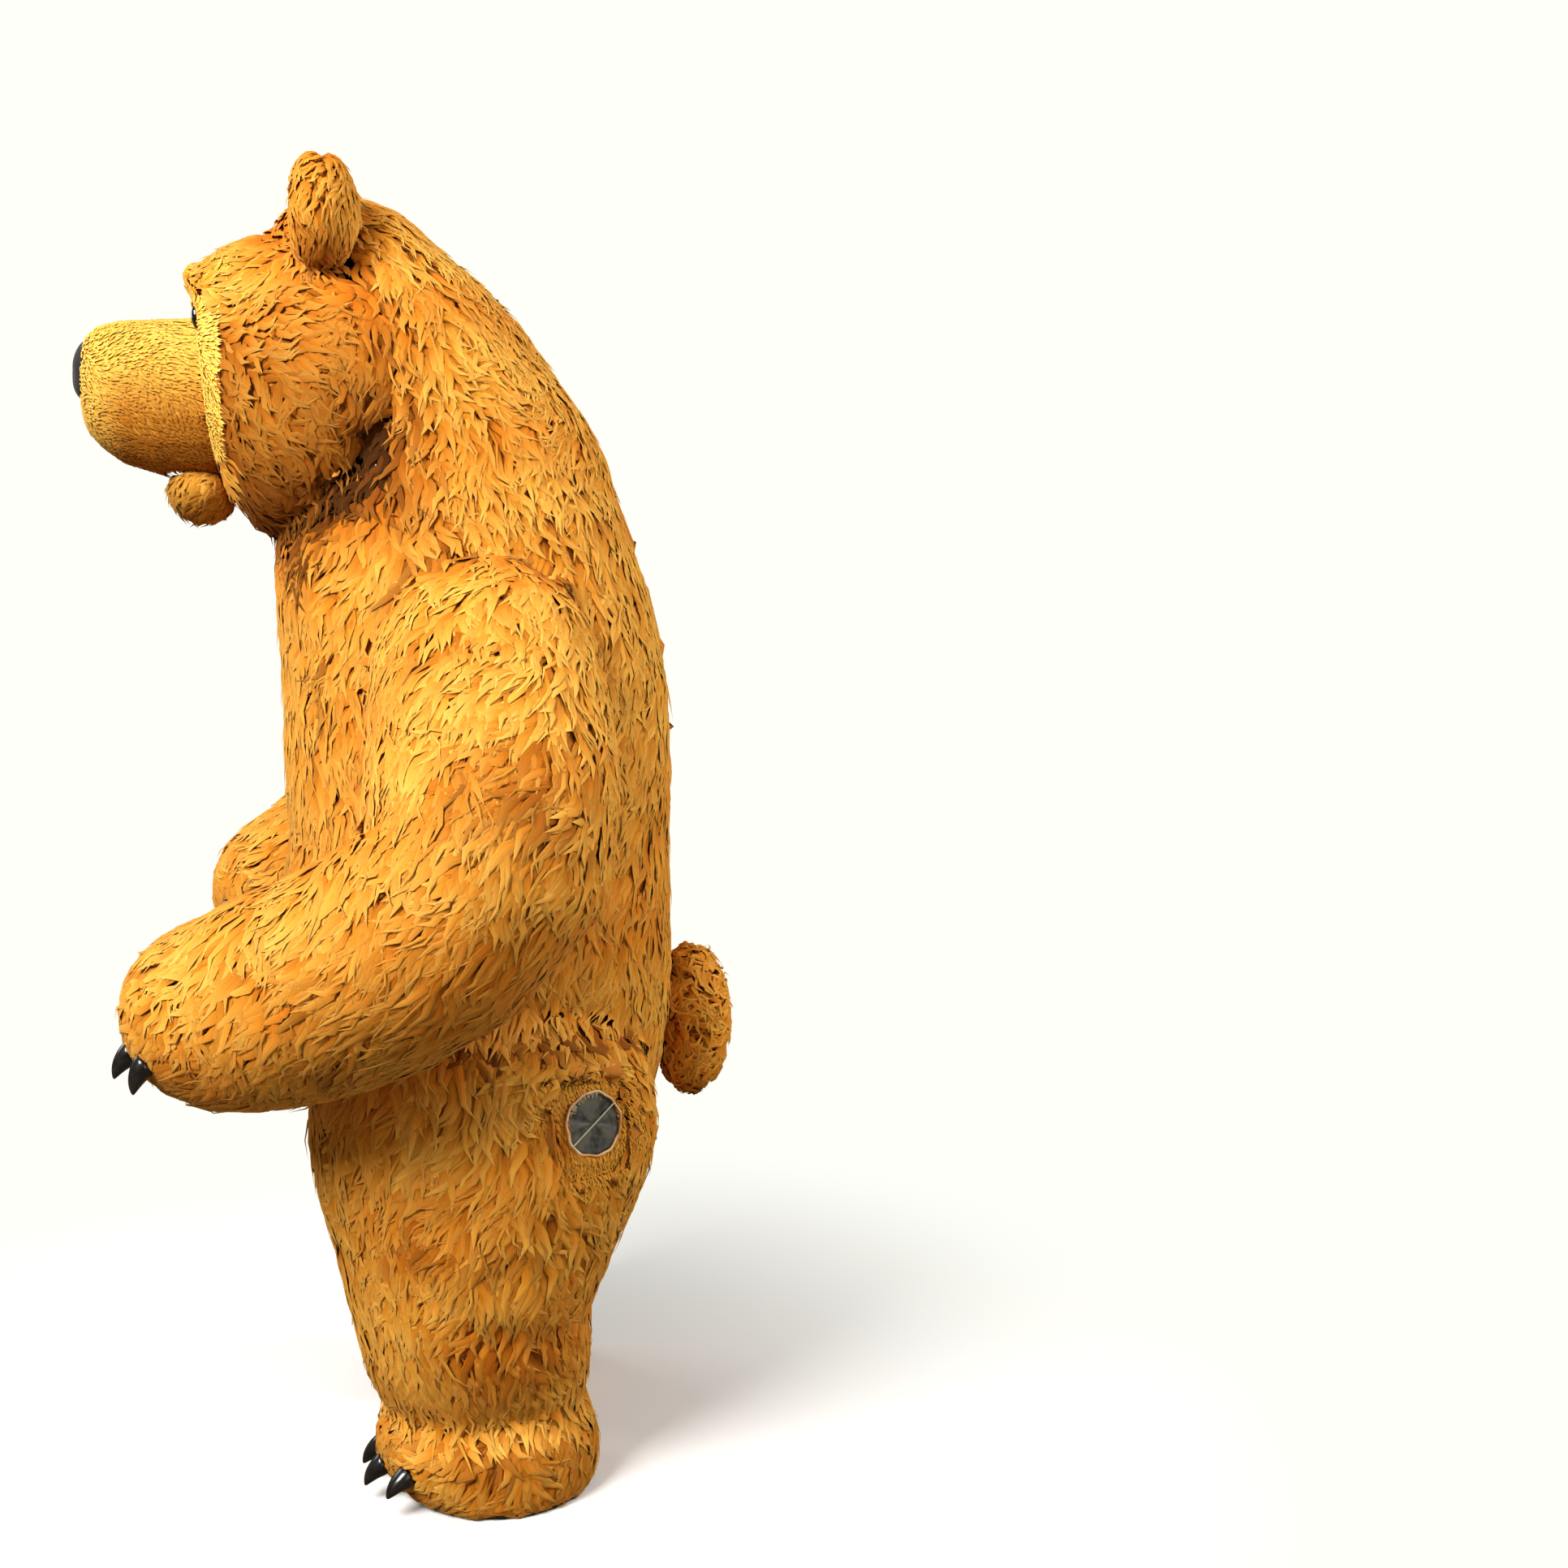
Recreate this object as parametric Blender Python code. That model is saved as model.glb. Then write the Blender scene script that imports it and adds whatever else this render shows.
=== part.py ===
# Inflated plush bear costume: a hollow suit of long-pile cloth that stands on its own soles.
# Front faces -Y, the costume's left side is +X, +Z is up, and the floor is z = 0.
# Every cloth panel is a closed wall whose outside lies at the tips of the combed pile.

import bpy
import bmesh
import math
from mathutils import Matrix, Vector

# Driving sizes, in metres

SEAM = 0.0003            # gap between two pieces that are sewn together
WALL = 0.018             # backing cloth 3 mm, with 15 mm of combed pile on it
PATCH_DROP = 0.008       # how far the short pile round the vent lies below the long pile
ORIGIN_SHIFT = 0.121     # moves the suit back, so that its box is centred on the origin

NECK_HEIGHT = 1.97       # seam between the torso and the back of the head
GUSSET_HEIGHT = 0.60     # top of the crotch gusset
ANKLE_HEIGHT = 0.185     # seam between leg and foot
SOLE_THICKNESS = 0.012
MASK_DEPTH = -0.470      # the short-pile mask ends at this depth of the face
BROW_TURNS = 4           # the brow reaches this many of the face's turns to each side
WRIST = 0.70             # where the paw is sewn on, as a share of the arm's length

ZIP_LOW = 1.31           # the zip runs from here up to the neck seam
ZIP_HALF_WIDTH = 0.007
ZIP_TOP_DEPTH = 0.009    # the tape lies this far below the tips of the pile

RIGHT_ARM_LIFT = 0.036   # the right forearm is held this much higher than the left
RIGHT_ARM_BACK = 0.056   # and its paw lies this much further back
LIFT_FROM = 0.18         # the lift starts at this share of the arm's length
LIFT_OVER = 0.30         # and is complete after this much more of it
BACK_FROM = 0.50
BACK_OVER = 0.40

VENT_TURN = 51.0         # degrees round the left leg, from the back towards the outside
VENT_HEIGHT = 0.787
VENT_RADIUS = 0.057
PATCH_HALF_WIDTH = 0.078
PATCH_HALF_HEIGHT = 0.092
BINDING_WIDTH = 0.004
BINDING_TOP = -0.006     # the binding's rim, measured from the tips of the long pile
NET_LEVEL = -0.020       # the back of the net, measured in the same way
NET_THICKNESS = 0.003
CORD_RADIUS = 0.0022
CORD_TURN = 33.0         # degrees from the level
VENT_SIDES = 20

CLAW_LENGTH = 0.048
CLAW_RADIUS = 0.0145
CLAW_SEAT = 0.004        # how far a claw's foot lies below the tips of the pile


def table(columns, *rows):
    names = columns.split()
    return [dict(zip(names, row)) for row in rows]


# Level sections of the torso and the back of the head, from the crotch to the crown

BODY = table(
    "height front back half_width",
    (0.452, 0.000, 0.000, 0.000),
    (0.457, -0.060, 0.060, 0.040),
    (0.478, -0.120, 0.120, 0.080),
    (0.520, -0.190, 0.190, 0.135),
    (0.600, -0.262, 0.264, 0.205),
    (0.700, -0.325, 0.330, 0.275),
    (0.800, -0.362, 0.362, 0.330),
    (0.900, -0.382, 0.376, 0.368),
    (1.000, -0.393, 0.383, 0.396),
    (1.160, -0.395, 0.385, 0.400),
    (1.285, -0.389, 0.381, 0.390),
    (1.420, -0.385, 0.389, 0.395),
    (1.600, -0.383, 0.381, 0.394),
    (1.720, -0.390, 0.357, 0.384),
    (1.820, -0.394, 0.330, 0.362),
    (1.900, -0.385, 0.307, 0.343),
    (1.970, -0.372, 0.286, 0.320),
    (2.030, -0.372, 0.267, 0.303),
    (2.110, -0.385, 0.231, 0.292),
    (2.200, -0.400, 0.167, 0.286),
    (2.300, -0.410, 0.095, 0.268),
    (2.380, -0.408, 0.020, 0.243),
    (2.450, -0.392, -0.064, 0.200),
    (2.500, -0.365, -0.115, 0.148),
    (2.526, -0.335, -0.165, 0.098),
    (2.538, -0.300, -0.205, 0.052),
    (2.542, -0.252, -0.252, 0.000),
)

# Level sections of the left leg and foot, from the floor to its round top inside the torso

LEG = table(
    "height middle half_width front back",
    (0.000, 0.262, 0.170, -0.160, 0.190),
    (0.035, 0.262, 0.186, -0.206, 0.206),
    (0.080, 0.262, 0.192, -0.231, 0.210),
    (0.130, 0.265, 0.190, -0.236, 0.206),
    (0.185, 0.268, 0.166, -0.214, 0.184),
    (0.225, 0.272, 0.172, -0.234, 0.191),
    (0.290, 0.276, 0.193, -0.256, 0.195),
    (0.360, 0.272, 0.218, -0.268, 0.200),
    (0.430, 0.264, 0.238, -0.286, 0.220),
    (0.525, 0.262, 0.252, -0.308, 0.262),
    (0.630, 0.265, 0.257, -0.332, 0.310),
    (0.720, 0.262, 0.253, -0.346, 0.334),
    (0.800, 0.256, 0.244, -0.346, 0.335),
    (0.880, 0.248, 0.226, -0.326, 0.312),
    (0.950, 0.245, 0.203, -0.280, 0.265),
    (1.010, 0.232, 0.157, -0.200, 0.190),
    (1.045, 0.222, 0.098, -0.115, 0.115),
    (1.058, 0.216, 0.000, 0.000, 0.000),
)

# Round sections of the left arm and paw, from inside the shoulder to the tip of the paw

ARM = table(
    "across along height radius",
    (0.130, 0.012, 1.790, 0.000),
    (0.145, 0.012, 1.780, 0.075),
    (0.185, 0.012, 1.755, 0.140),
    (0.258, 0.014, 1.713, 0.188),
    (0.342, 0.016, 1.655, 0.214),
    (0.452, 0.020, 1.540, 0.228),
    (0.552, 0.020, 1.416, 0.229),
    (0.606, 0.000, 1.312, 0.223),
    (0.618, -0.085, 1.228, 0.216),
    (0.606, -0.190, 1.162, 0.208),
    (0.578, -0.300, 1.110, 0.203),
    (0.538, -0.395, 1.076, 0.195),
    (0.496, -0.475, 1.052, 0.180),
    (0.460, -0.542, 1.049, 0.154),
    (0.430, -0.594, 1.047, 0.116),
    (0.415, -0.628, 1.046, 0.064),
    (0.409, -0.642, 1.046, 0.000),
)

# Upright sections of the face, from the corner of its brow back to where it lies inside the head

FACE = table(
    "depth middle half_width half_height",
    (-0.546, 2.384, 0.000, 0.000),
    (-0.541, 2.381, 0.085, 0.020),
    (-0.527, 2.372, 0.138, 0.042),
    (-0.511, 2.327, 0.176, 0.087),
    (-0.497, 2.229, 0.203, 0.198),
    (-0.470, 2.198, 0.226, 0.247),
    (-0.420, 2.182, 0.256, 0.284),
    (-0.370, 2.182, 0.284, 0.304),
    (-0.310, 2.185, 0.304, 0.313),
    (-0.240, 2.187, 0.313, 0.306),
    (-0.170, 2.200, 0.300, 0.274),
    (-0.110, 2.208, 0.255, 0.225),
    (-0.070, 2.210, 0.190, 0.165),
    (-0.050, 2.210, 0.100, 0.085),
    (-0.045, 2.210, 0.000, 0.000),
)

SNOUT = table(
    "depth middle half_width half_height",
    (-0.748, 2.178, 0.000, 0.000),
    (-0.745, 2.178, 0.052, 0.068),
    (-0.734, 2.181, 0.084, 0.096),
    (-0.711, 2.177, 0.110, 0.119),
    (-0.673, 2.168, 0.130, 0.138),
    (-0.600, 2.158, 0.145, 0.151),
    (-0.520, 2.157, 0.153, 0.155),
    (-0.400, 2.164, 0.155, 0.154),
    (-0.340, 2.176, 0.130, 0.124),
    (-0.320, 2.185, 0.070, 0.060),
    (-0.316, 2.185, 0.000, 0.000),
)

# Folds pressed into the cloth: where they run, how far round or along, how deep and how wide

BODY_FOLDS = table(
    "height turn slope reach depth width",
    (1.285, -38.0, 0.02, 34.0, 0.017, 0.030),
    (1.225, 48.0, -0.10, 24.0, 0.014, 0.028),
    (1.300, 180.0, 0.00, 60.0, 0.012, 0.032),
    (1.960, 0.0, 0.00, 70.0, 0.008, 0.030),
)

LEG_FOLDS = table(
    "height turn slope reach depth width",
    (0.375, 30.0, 0.03, 60.0, 0.013, 0.028),
    (0.470, 190.0, -0.04, 55.0, 0.010, 0.030),
    (0.185, 90.0, 0.01, 150.0, 0.010, 0.024),
)

ARM_FOLDS = table(
    "height turn slope reach depth width",
    (0.475, 195.0, 0.00, 60.0, 0.020, 0.032),
    (0.560, 240.0, 0.02, 45.0, 0.013, 0.028),
)

# Claws of the paw: which way the cloth faces where each is sewn on, in degrees from the arm's line

PAW_CLAWS = table(
    "sideways upwards droop",
    (66.0, -24.0, 0.55),
    (32.0, -18.0, 0.55),
    (-14.0, -6.0, 0.50),
    (-54.0, 2.0, 0.45),
)

FOOT_CLAWS = table(
    "across height droop",
    (0.392, 0.078, 0.60),
    (0.315, 0.070, 0.60),
    (0.232, 0.072, 0.60),
    (0.155, 0.084, 0.60),
)

# Stuffed and moulded pieces, and the hollow of the ear: where each middle lies, and half its size

ROUND_PIECES = table(
    "name across depth height half_width half_depth half_height",
    ("nose", 0.000, -0.737, 2.212, 0.062, 0.026, 0.060),
    ("chin", 0.000, -0.526, 1.979, 0.098, 0.068, 0.063),
    ("eye", 0.120, -0.519, 2.303, 0.019, 0.014, 0.021),
    ("ear", 0.195, -0.270, 2.489, 0.110, 0.070, 0.120),
    ("ear_hollow", 0.195, -0.336, 2.500, 0.070, 0.040, 0.078),
    ("tail", -0.015, 0.430, 0.871, 0.088, 0.084, 0.160),
)

EAR_LEAN = 8.0           # degrees outwards
EYE_TURN = 11.5          # degrees outwards
NOSE_TIP = -8.0          # degrees, its top leans back

# How many points each form has around it

TURNS = {"body": 32, "leg": 20, "arm": 20, "face": 24, "snout": 18}


# Curves through the tables

def smoothColumn(rows, key, column, at):
    # a curve through the rows that never swings past them
    first = rows[0]
    last = rows[-1]
    if at <= first[key]:
        return first[column]
    if at >= last[key]:
        return last[column]
    index = 0
    while rows[index + 1][key] < at:
        index += 1

    def rise(k):
        return (rows[k + 1][column] - rows[k][column]) / (rows[k + 1][key] - rows[k][key])

    def slope(k):
        if k == 0:
            return rise(0)
        if k == len(rows) - 1:
            return rise(k - 1)
        before = rise(k - 1)
        after = rise(k)
        if before * after <= 0.0:
            return 0.0
        return 2.0 * before * after / (before + after)

    span = rows[index + 1][key] - rows[index][key]
    t = (at - rows[index][key]) / span
    start = rows[index][column]
    end = rows[index + 1][column]
    bend = (2 * t ** 3 - 3 * t ** 2 + 1) * start + (3 * t ** 2 - 2 * t ** 3) * end
    pull = (t ** 3 - 2 * t ** 2 + t) * slope(index) + (t ** 3 - t ** 2) * slope(index + 1)
    return bend + pull * span


def foldDepth(folds, turn, height):
    # how far the cloth is pressed in at one place, from all the folds
    depth = 0.0
    for fold in folds:
        away = (math.degrees(turn) - fold["turn"] + 180.0) % 360.0 - 180.0
        if abs(away) > fold["reach"]:
            continue
        fade = math.cos(0.5 * math.pi * away / fold["reach"]) ** 2
        rise = height - fold["height"] - fold["slope"] * away / fold["reach"]
        depth += fold["depth"] * fade * math.exp(-(rise / fold["width"]) ** 2)
    return depth


def stations(rows, key, folds=(), seams=()):
    # the rows' own places, the seams across them, and the middle of each fold with none near it
    places = sorted({row[key] for row in rows} | set(seams))
    for fold in folds:
        if min(abs(place - fold["height"]) for place in places) > 0.02:
            places.append(fold["height"])
    return sorted(places)


def squarer(value, power):
    return math.copysign(abs(value) ** power, value)


class Form:
    # A closed shape given by a point for each turn and each place along it

    def __init__(self, point, centre, places, turns):
        self.point = point
        self.centre = centre
        self.places = places
        self.turns = turns

    def normal(self, turn, place):
        step = 0.002
        first = self.places[0]
        last = self.places[-1]
        if place <= first + 1e-6:
            return (self.centre(first) - self.centre(first + step)).normalized()
        if place >= last - 1e-6:
            return (self.centre(last) - self.centre(last - step)).normalized()
        low = max(first + 1e-4, place - step)
        high = min(last - 1e-4, place + step)
        along = self.point(turn, high) - self.point(turn, low)
        around = self.point(turn + 0.01, place) - self.point(turn - 0.01, place)
        normal = around.cross(along).normalized()
        if normal.dot(self.point(turn, place) - self.centre(place)) < 0.0:
            normal.negate()
        return normal

    def moved(self, turn, place, grow):
        return self.point(turn, place) + self.normal(turn, place) * grow


def bodyForm():
    def centre(height):
        front = smoothColumn(BODY, "height", "front", height)
        back = smoothColumn(BODY, "height", "back", height)
        return Vector((0.0, (front + back) / 2, height))

    def point(turn, height):
        front = smoothColumn(BODY, "height", "front", height)
        back = smoothColumn(BODY, "height", "back", height)
        pressed = foldDepth(BODY_FOLDS, turn, height)
        half_width = smoothColumn(BODY, "height", "half_width", height) - pressed
        half_depth = (back - front) / 2 - pressed
        x = max(half_width, 0.0) * squarer(math.sin(turn), 0.92)
        y = (front + back) / 2 + max(half_depth, 0.0) * squarer(math.cos(turn), 0.92)
        return Vector((x, y, height))

    places = stations(BODY, "height", BODY_FOLDS, (GUSSET_HEIGHT, NECK_HEIGHT))
    return Form(point, centre, places, TURNS["body"])


def legForm(side):
    def centre(height):
        middle = smoothColumn(LEG, "height", "middle", height)
        front = smoothColumn(LEG, "height", "front", height)
        back = smoothColumn(LEG, "height", "back", height)
        return Vector((side * middle, (front + back) / 2, height))

    def point(turn, height):
        front = smoothColumn(LEG, "height", "front", height)
        back = smoothColumn(LEG, "height", "back", height)
        pressed = foldDepth(LEG_FOLDS, turn, height)
        half_width = max(smoothColumn(LEG, "height", "half_width", height) - pressed, 0.0)
        half_depth = max((back - front) / 2 - pressed, 0.0)
        middle = smoothColumn(LEG, "height", "middle", height)
        x = middle + half_width * math.sin(turn)
        y = (front + back) / 2 + half_depth * math.cos(turn)
        return Vector((side * x, y, height))

    return Form(point, centre, stations(LEG, "height", LEG_FOLDS, (ANKLE_HEIGHT,)), TURNS["leg"])


def armForm(side):
    # the place along the arm is a share of its length, measured down its middle
    lift = RIGHT_ARM_LIFT if side < 0 else 0.0
    back = RIGHT_ARM_BACK if side < 0 else 0.0
    lengths = [0.0]
    for before, after in zip(ARM, ARM[1:]):
        step = math.dist([before[key] for key in ("across", "along", "height")],
                         [after[key] for key in ("across", "along", "height")])
        lengths.append(lengths[-1] + step)
    rows = [dict(row, share=length / lengths[-1]) for row, length in zip(ARM, lengths)]

    def centre(share):
        raised = lift * min(1.0, max(0.0, (share - LIFT_FROM) / LIFT_OVER))
        drawn = back * min(1.0, max(0.0, (share - BACK_FROM) / BACK_OVER))
        return Vector((side * smoothColumn(rows, "share", "across", share),
                       smoothColumn(rows, "share", "along", share) + drawn,
                       smoothColumn(rows, "share", "height", share) + raised))

    # a pair of cross directions is carried down the arm without twisting
    steps = 120
    across = Vector((0.0, 1.0, 0.0))
    frames = []
    for k in range(steps + 1):
        share = min(max(k / steps, 0.002), 0.998)
        heading = (centre(share + 0.002) - centre(share - 0.002)).normalized()
        across = (across - heading * across.dot(heading)).normalized()
        frames.append((across.copy(), heading.cross(across) * side))

    def point(turn, share):
        index = min(int(share * steps), steps - 1)
        part = share * steps - index
        backward = frames[index][0].lerp(frames[index + 1][0], part).normalized()
        outward = frames[index][1].lerp(frames[index + 1][1], part).normalized()
        radius = smoothColumn(rows, "share", "radius", share) - foldDepth(ARM_FOLDS, turn, share)
        spread = backward * math.cos(turn) + outward * math.sin(turn)
        return centre(share) + spread * max(radius, 0.0)

    return Form(point, centre, stations(rows, "share", ARM_FOLDS, (WRIST,)), TURNS["arm"])


def headForm(rows, turns, power):
    # turns run from the top round the costume's left side
    def centre(depth):
        return Vector((0.0, depth, smoothColumn(rows, "depth", "middle", depth)))

    def point(turn, depth):
        half_width = smoothColumn(rows, "depth", "half_width", depth)
        half_height = smoothColumn(rows, "depth", "half_height", depth)
        x = half_width * squarer(math.sin(turn), power)
        z = half_height * squarer(math.cos(turn), power)
        return centre(depth) + Vector((x, 0.0, z))

    return Form(point, centre, stations(rows, "depth"), turns)


# Meshes

def newObject(name, mesh, root):
    piece = bpy.data.objects.new(name, mesh)
    bpy.context.collection.objects.link(piece)
    piece.parent = root
    return piece


def finishMesh(bm, name):
    bmesh.ops.recalc_face_normals(bm, faces=bm.faces)
    mesh = bpy.data.meshes.new(name)
    bm.to_mesh(mesh)
    bm.free()
    mesh.shade_smooth()
    mesh.set_sharp_from_angle(angle=math.radians(40))
    return mesh


def formMesh(form, name, grow):
    # the whole closed shape, grown outwards, or shrunk where grow is below zero
    bm = bmesh.new()
    rings = []
    for place in form.places:
        turns = [2 * math.pi * k / form.turns for k in range(form.turns)]
        points = [form.moved(turn, place, grow) for turn in turns]
        if (points[0] - points[len(points) // 2]).length < 1e-4:
            rings.append([bm.verts.new(points[0])])
        else:
            rings.append([bm.verts.new(point) for point in points])
    for low, high in zip(rings, rings[1:]):
        joinRings(bm, low, high, True)
    for ring in (rings[0], rings[-1]):
        if len(ring) > 1:
            bm.faces.new(ring)
    return finishMesh(bm, name)


def joinRings(bm, low, high, closed):
    # each square is split along the same diagonal, so that a panel and its form match
    count = max(len(low), len(high))
    for k in range(count if closed else count - 1):
        corners = []
        for ring, index in ((low, k), (low, k + 1), (high, k + 1), (high, k)):
            corners.append(ring[0] if len(ring) == 1 else ring[index % len(ring)])
        for triangle in ((0, 1, 2), (0, 2, 3)):
            vertices = {corners[index] for index in triangle}
            if len(vertices) == 3:
                bm.faces.new([corners[index] for index in triangle])


def panelMesh(form, name, outer, inner, first_turn, last_turn, low, high):
    # a closed wall over part of a form: its outside, its inside, and the edges between them
    whole = last_turn - first_turn >= form.turns
    start = low + SEAM / 2 if low > form.places[0] else form.places[0]
    end = high - SEAM / 2 if high < form.places[-1] else form.places[-1]
    spare = 0.15 * min(0.05, end - start)
    if start == form.places[0]:
        places = [start] + [place for place in form.places[1:] if place < end - spare]
    else:
        places = [start] + [place for place in form.places if start + spare < place < end - spare]
    if end == form.places[-1] and places[-1] < form.places[-2]:
        places.append(form.places[-2])
    places.append(end)
    bm = bmesh.new()
    grids = []
    for grow in (outer, inner):
        grid = []
        for place in places:
            ring = []
            last = last_turn if whole else last_turn + 1
            for k in range(first_turn, last):
                turn = 2 * math.pi * k / form.turns
                girth = (form.point(turn + 0.01, place) - form.point(turn - 0.01, place)).length / 0.02
                if not whole and girth > 1e-4:
                    trim = SEAM / 2 / girth
                    turn += trim if k == first_turn else 0.0
                    turn -= trim if k == last_turn else 0.0
                ring.append(form.moved(turn, place, grow))
            if (ring[0] - ring[len(ring) // 2]).length < 1e-4:
                ring = ring[:1]
            grid.append([bm.verts.new(point) for point in ring])
        for near, far in zip(grid, grid[1:]):
            joinRings(bm, near, far, whole)
        grids.append(grid)
    outside, inside = grids
    for row in (0, -1):
        if len(outside[row]) > 1:
            joinRings(bm, outside[row], inside[row], whole)
    if not whole:
        for edge in (0, -1):
            joinRings(bm, [ring[edge] for ring in outside], [ring[edge] for ring in inside], False)
    return finishMesh(bm, name)


def roundPiece(kind, side, name, segments, rings):
    # the mesh of one row of the table, and the place of its middle on one side of the suit
    row = next(row for row in ROUND_PIECES if row["name"] == kind)
    half_sizes = Vector((row["half_width"], row["half_depth"], row["half_height"]))
    bm = bmesh.new()
    bmesh.ops.create_uvsphere(bm, u_segments=segments, v_segments=rings, radius=1.0)
    bmesh.ops.scale(bm, vec=half_sizes, verts=bm.verts)
    place = Vector((side * row["across"], row["depth"], row["height"]))
    return finishMesh(bm, name), place


def boxMesh(name, low, high):
    bm = bmesh.new()
    bmesh.ops.create_cube(bm, size=1.0)
    size = Vector(high) - Vector(low)
    bmesh.ops.scale(bm, vec=size, verts=bm.verts)
    bmesh.ops.translate(bm, vec=(Vector(low) + Vector(high)) / 2, verts=bm.verts)
    return finishMesh(bm, name)


def tubeMesh(name, outer_radius, inner_radius, low, high, segments):
    # a ring about the Z axis, or a disc where there is no inner radius
    bm = bmesh.new()
    profile = [(outer_radius, low), (outer_radius, high)]
    profile += [(inner_radius, high), (inner_radius, low)]
    rings = []
    for radius, z in profile:
        if radius < 1e-6:
            rings.append([bm.verts.new((0.0, 0.0, z))])
            continue
        ring = []
        for k in range(segments):
            angle = 2 * math.pi * k / segments
            ring.append(bm.verts.new((radius * math.cos(angle), radius * math.sin(angle), z)))
        rings.append(ring)
    pairs = list(zip(rings, rings[1:] + rings[:1]))
    for near, far in pairs:
        if max(len(near), len(far)) > 1:
            joinRings(bm, near, far, True)
    return finishMesh(bm, name)


def clawMesh(name, length, radius, droop):
    # a curved cone along -Y that bends down towards its tip
    bm = bmesh.new()
    rings = []
    count = 7
    for share in (0.0, 0.35, 0.75):
        bend = droop * share ** 1.6
        middle = Vector((0.0, -length * math.sin(share * 1.2) / math.sin(1.2), -length * bend * 0.8))
        width = radius * (1.0 - share) ** 0.65
        tilt = Matrix.Rotation(bend * 0.9, 3, "X")
        ring = []
        for k in range(count):
            angle = 2 * math.pi * k / count
            spoke = Vector((width * math.cos(angle), 0.0, width * 1.15 * math.sin(angle)))
            ring.append(bm.verts.new(middle + tilt @ spoke))
        rings.append(ring)
    tip = Vector((0.0, -length, -length * droop * 0.8))
    rings.append([bm.verts.new(tip)])
    for near, far in zip(rings, rings[1:]):
        joinRings(bm, near, far, True)
    bm.faces.new(rings[0])
    return finishMesh(bm, name)


# Materials

MATERIALS = {
    "long_plush": ((0.76, 0.36, 0.07), 0.90),
    "short_plush": ((0.93, 0.60, 0.16), 0.92),
    "curly_plush": ((0.68, 0.27, 0.05), 0.92),
    "black_gloss": ((0.012, 0.011, 0.010), 0.22),
    "dark_felt": ((0.020, 0.018, 0.017), 0.75),
    "sole_cloth": ((0.045, 0.035, 0.028), 0.85),
    "vent_net": ((0.030, 0.030, 0.028), 0.80),
    "cream_tape": ((0.66, 0.58, 0.42), 0.85),
    "zip_tape": ((0.30, 0.14, 0.04), 0.80),
}


def giveMaterial(piece, kind):
    colour, roughness = MATERIALS[kind]
    material = bpy.data.materials.new(piece.name + "_" + kind)
    material.use_nodes = True
    shader = material.node_tree.nodes["Principled BSDF"]
    shader.inputs["Base Color"].default_value = (*colour, 1.0)
    shader.inputs["Roughness"].default_value = roughness
    shader.inputs["Metallic"].default_value = 0.0
    piece.data.materials.append(material)


class Costume:
    # Holds the suit's empty, the closed forms, and the cutters that are made from them

    def __init__(self):
        self.root = bpy.data.objects.new("costume", None)
        bpy.context.collection.objects.link(self.root)
        self.root.location = (0.0, ORIGIN_SHIFT, 0.0)
        self.forms = {
            "body": bodyForm(),
            "face": headForm(FACE, TURNS["face"], 0.96),
            "snout": headForm(SNOUT, TURNS["snout"], 0.86),
        }
        for side, word in ((1, "left"), (-1, "right")):
            self.forms["leg_" + word] = legForm(side)
            self.forms["arm_" + word] = armForm(side)
        self.cutters = {}

    def asCutter(self, mesh, name):
        cutter = newObject(name, mesh, self.root)
        cutter.hide_render = True
        cutter.display_type = "WIRE"
        return cutter

    def formCutter(self, name, grow):
        # each closed form is grown by the seam gap, or shrunk by the thickness of its wall
        key = "%s_%s" % (name, "outside" if grow > 0 else "inside")
        if key not in self.cutters:
            mesh = formMesh(self.forms[name], "cut_" + key, grow)
            self.cutters[key] = self.asCutter(mesh, "cut_" + key)
        return self.cutters[key]

    def cut(self, piece, *cutters):
        for cutter in cutters:
            modifier = piece.modifiers.new(cutter.name, "BOOLEAN")
            modifier.operation = "DIFFERENCE"
            modifier.solver = "EXACT"
            modifier.object = cutter

    def outside(self, name):
        return self.formCutter(name, SEAM)

    def inside(self, name, wall=WALL):
        return self.formCutter(name, -wall)

    def panel(self, name, form, kind, turns, heights, wall=WALL, top=0.0):
        shape = self.forms[form]
        first, last = turns
        low, high = heights
        mesh = panelMesh(shape, name, -top, -wall, first, last, low, high)
        piece = newObject(name, mesh, self.root)
        giveMaterial(piece, kind)
        return piece

    def solid(self, name, mesh, kind, location=(0, 0, 0), rotation=(0, 0, 0)):
        piece = newObject(name, mesh, self.root)
        piece.location = location
        piece.rotation_euler = rotation
        giveMaterial(piece, kind)
        return piece


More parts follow.
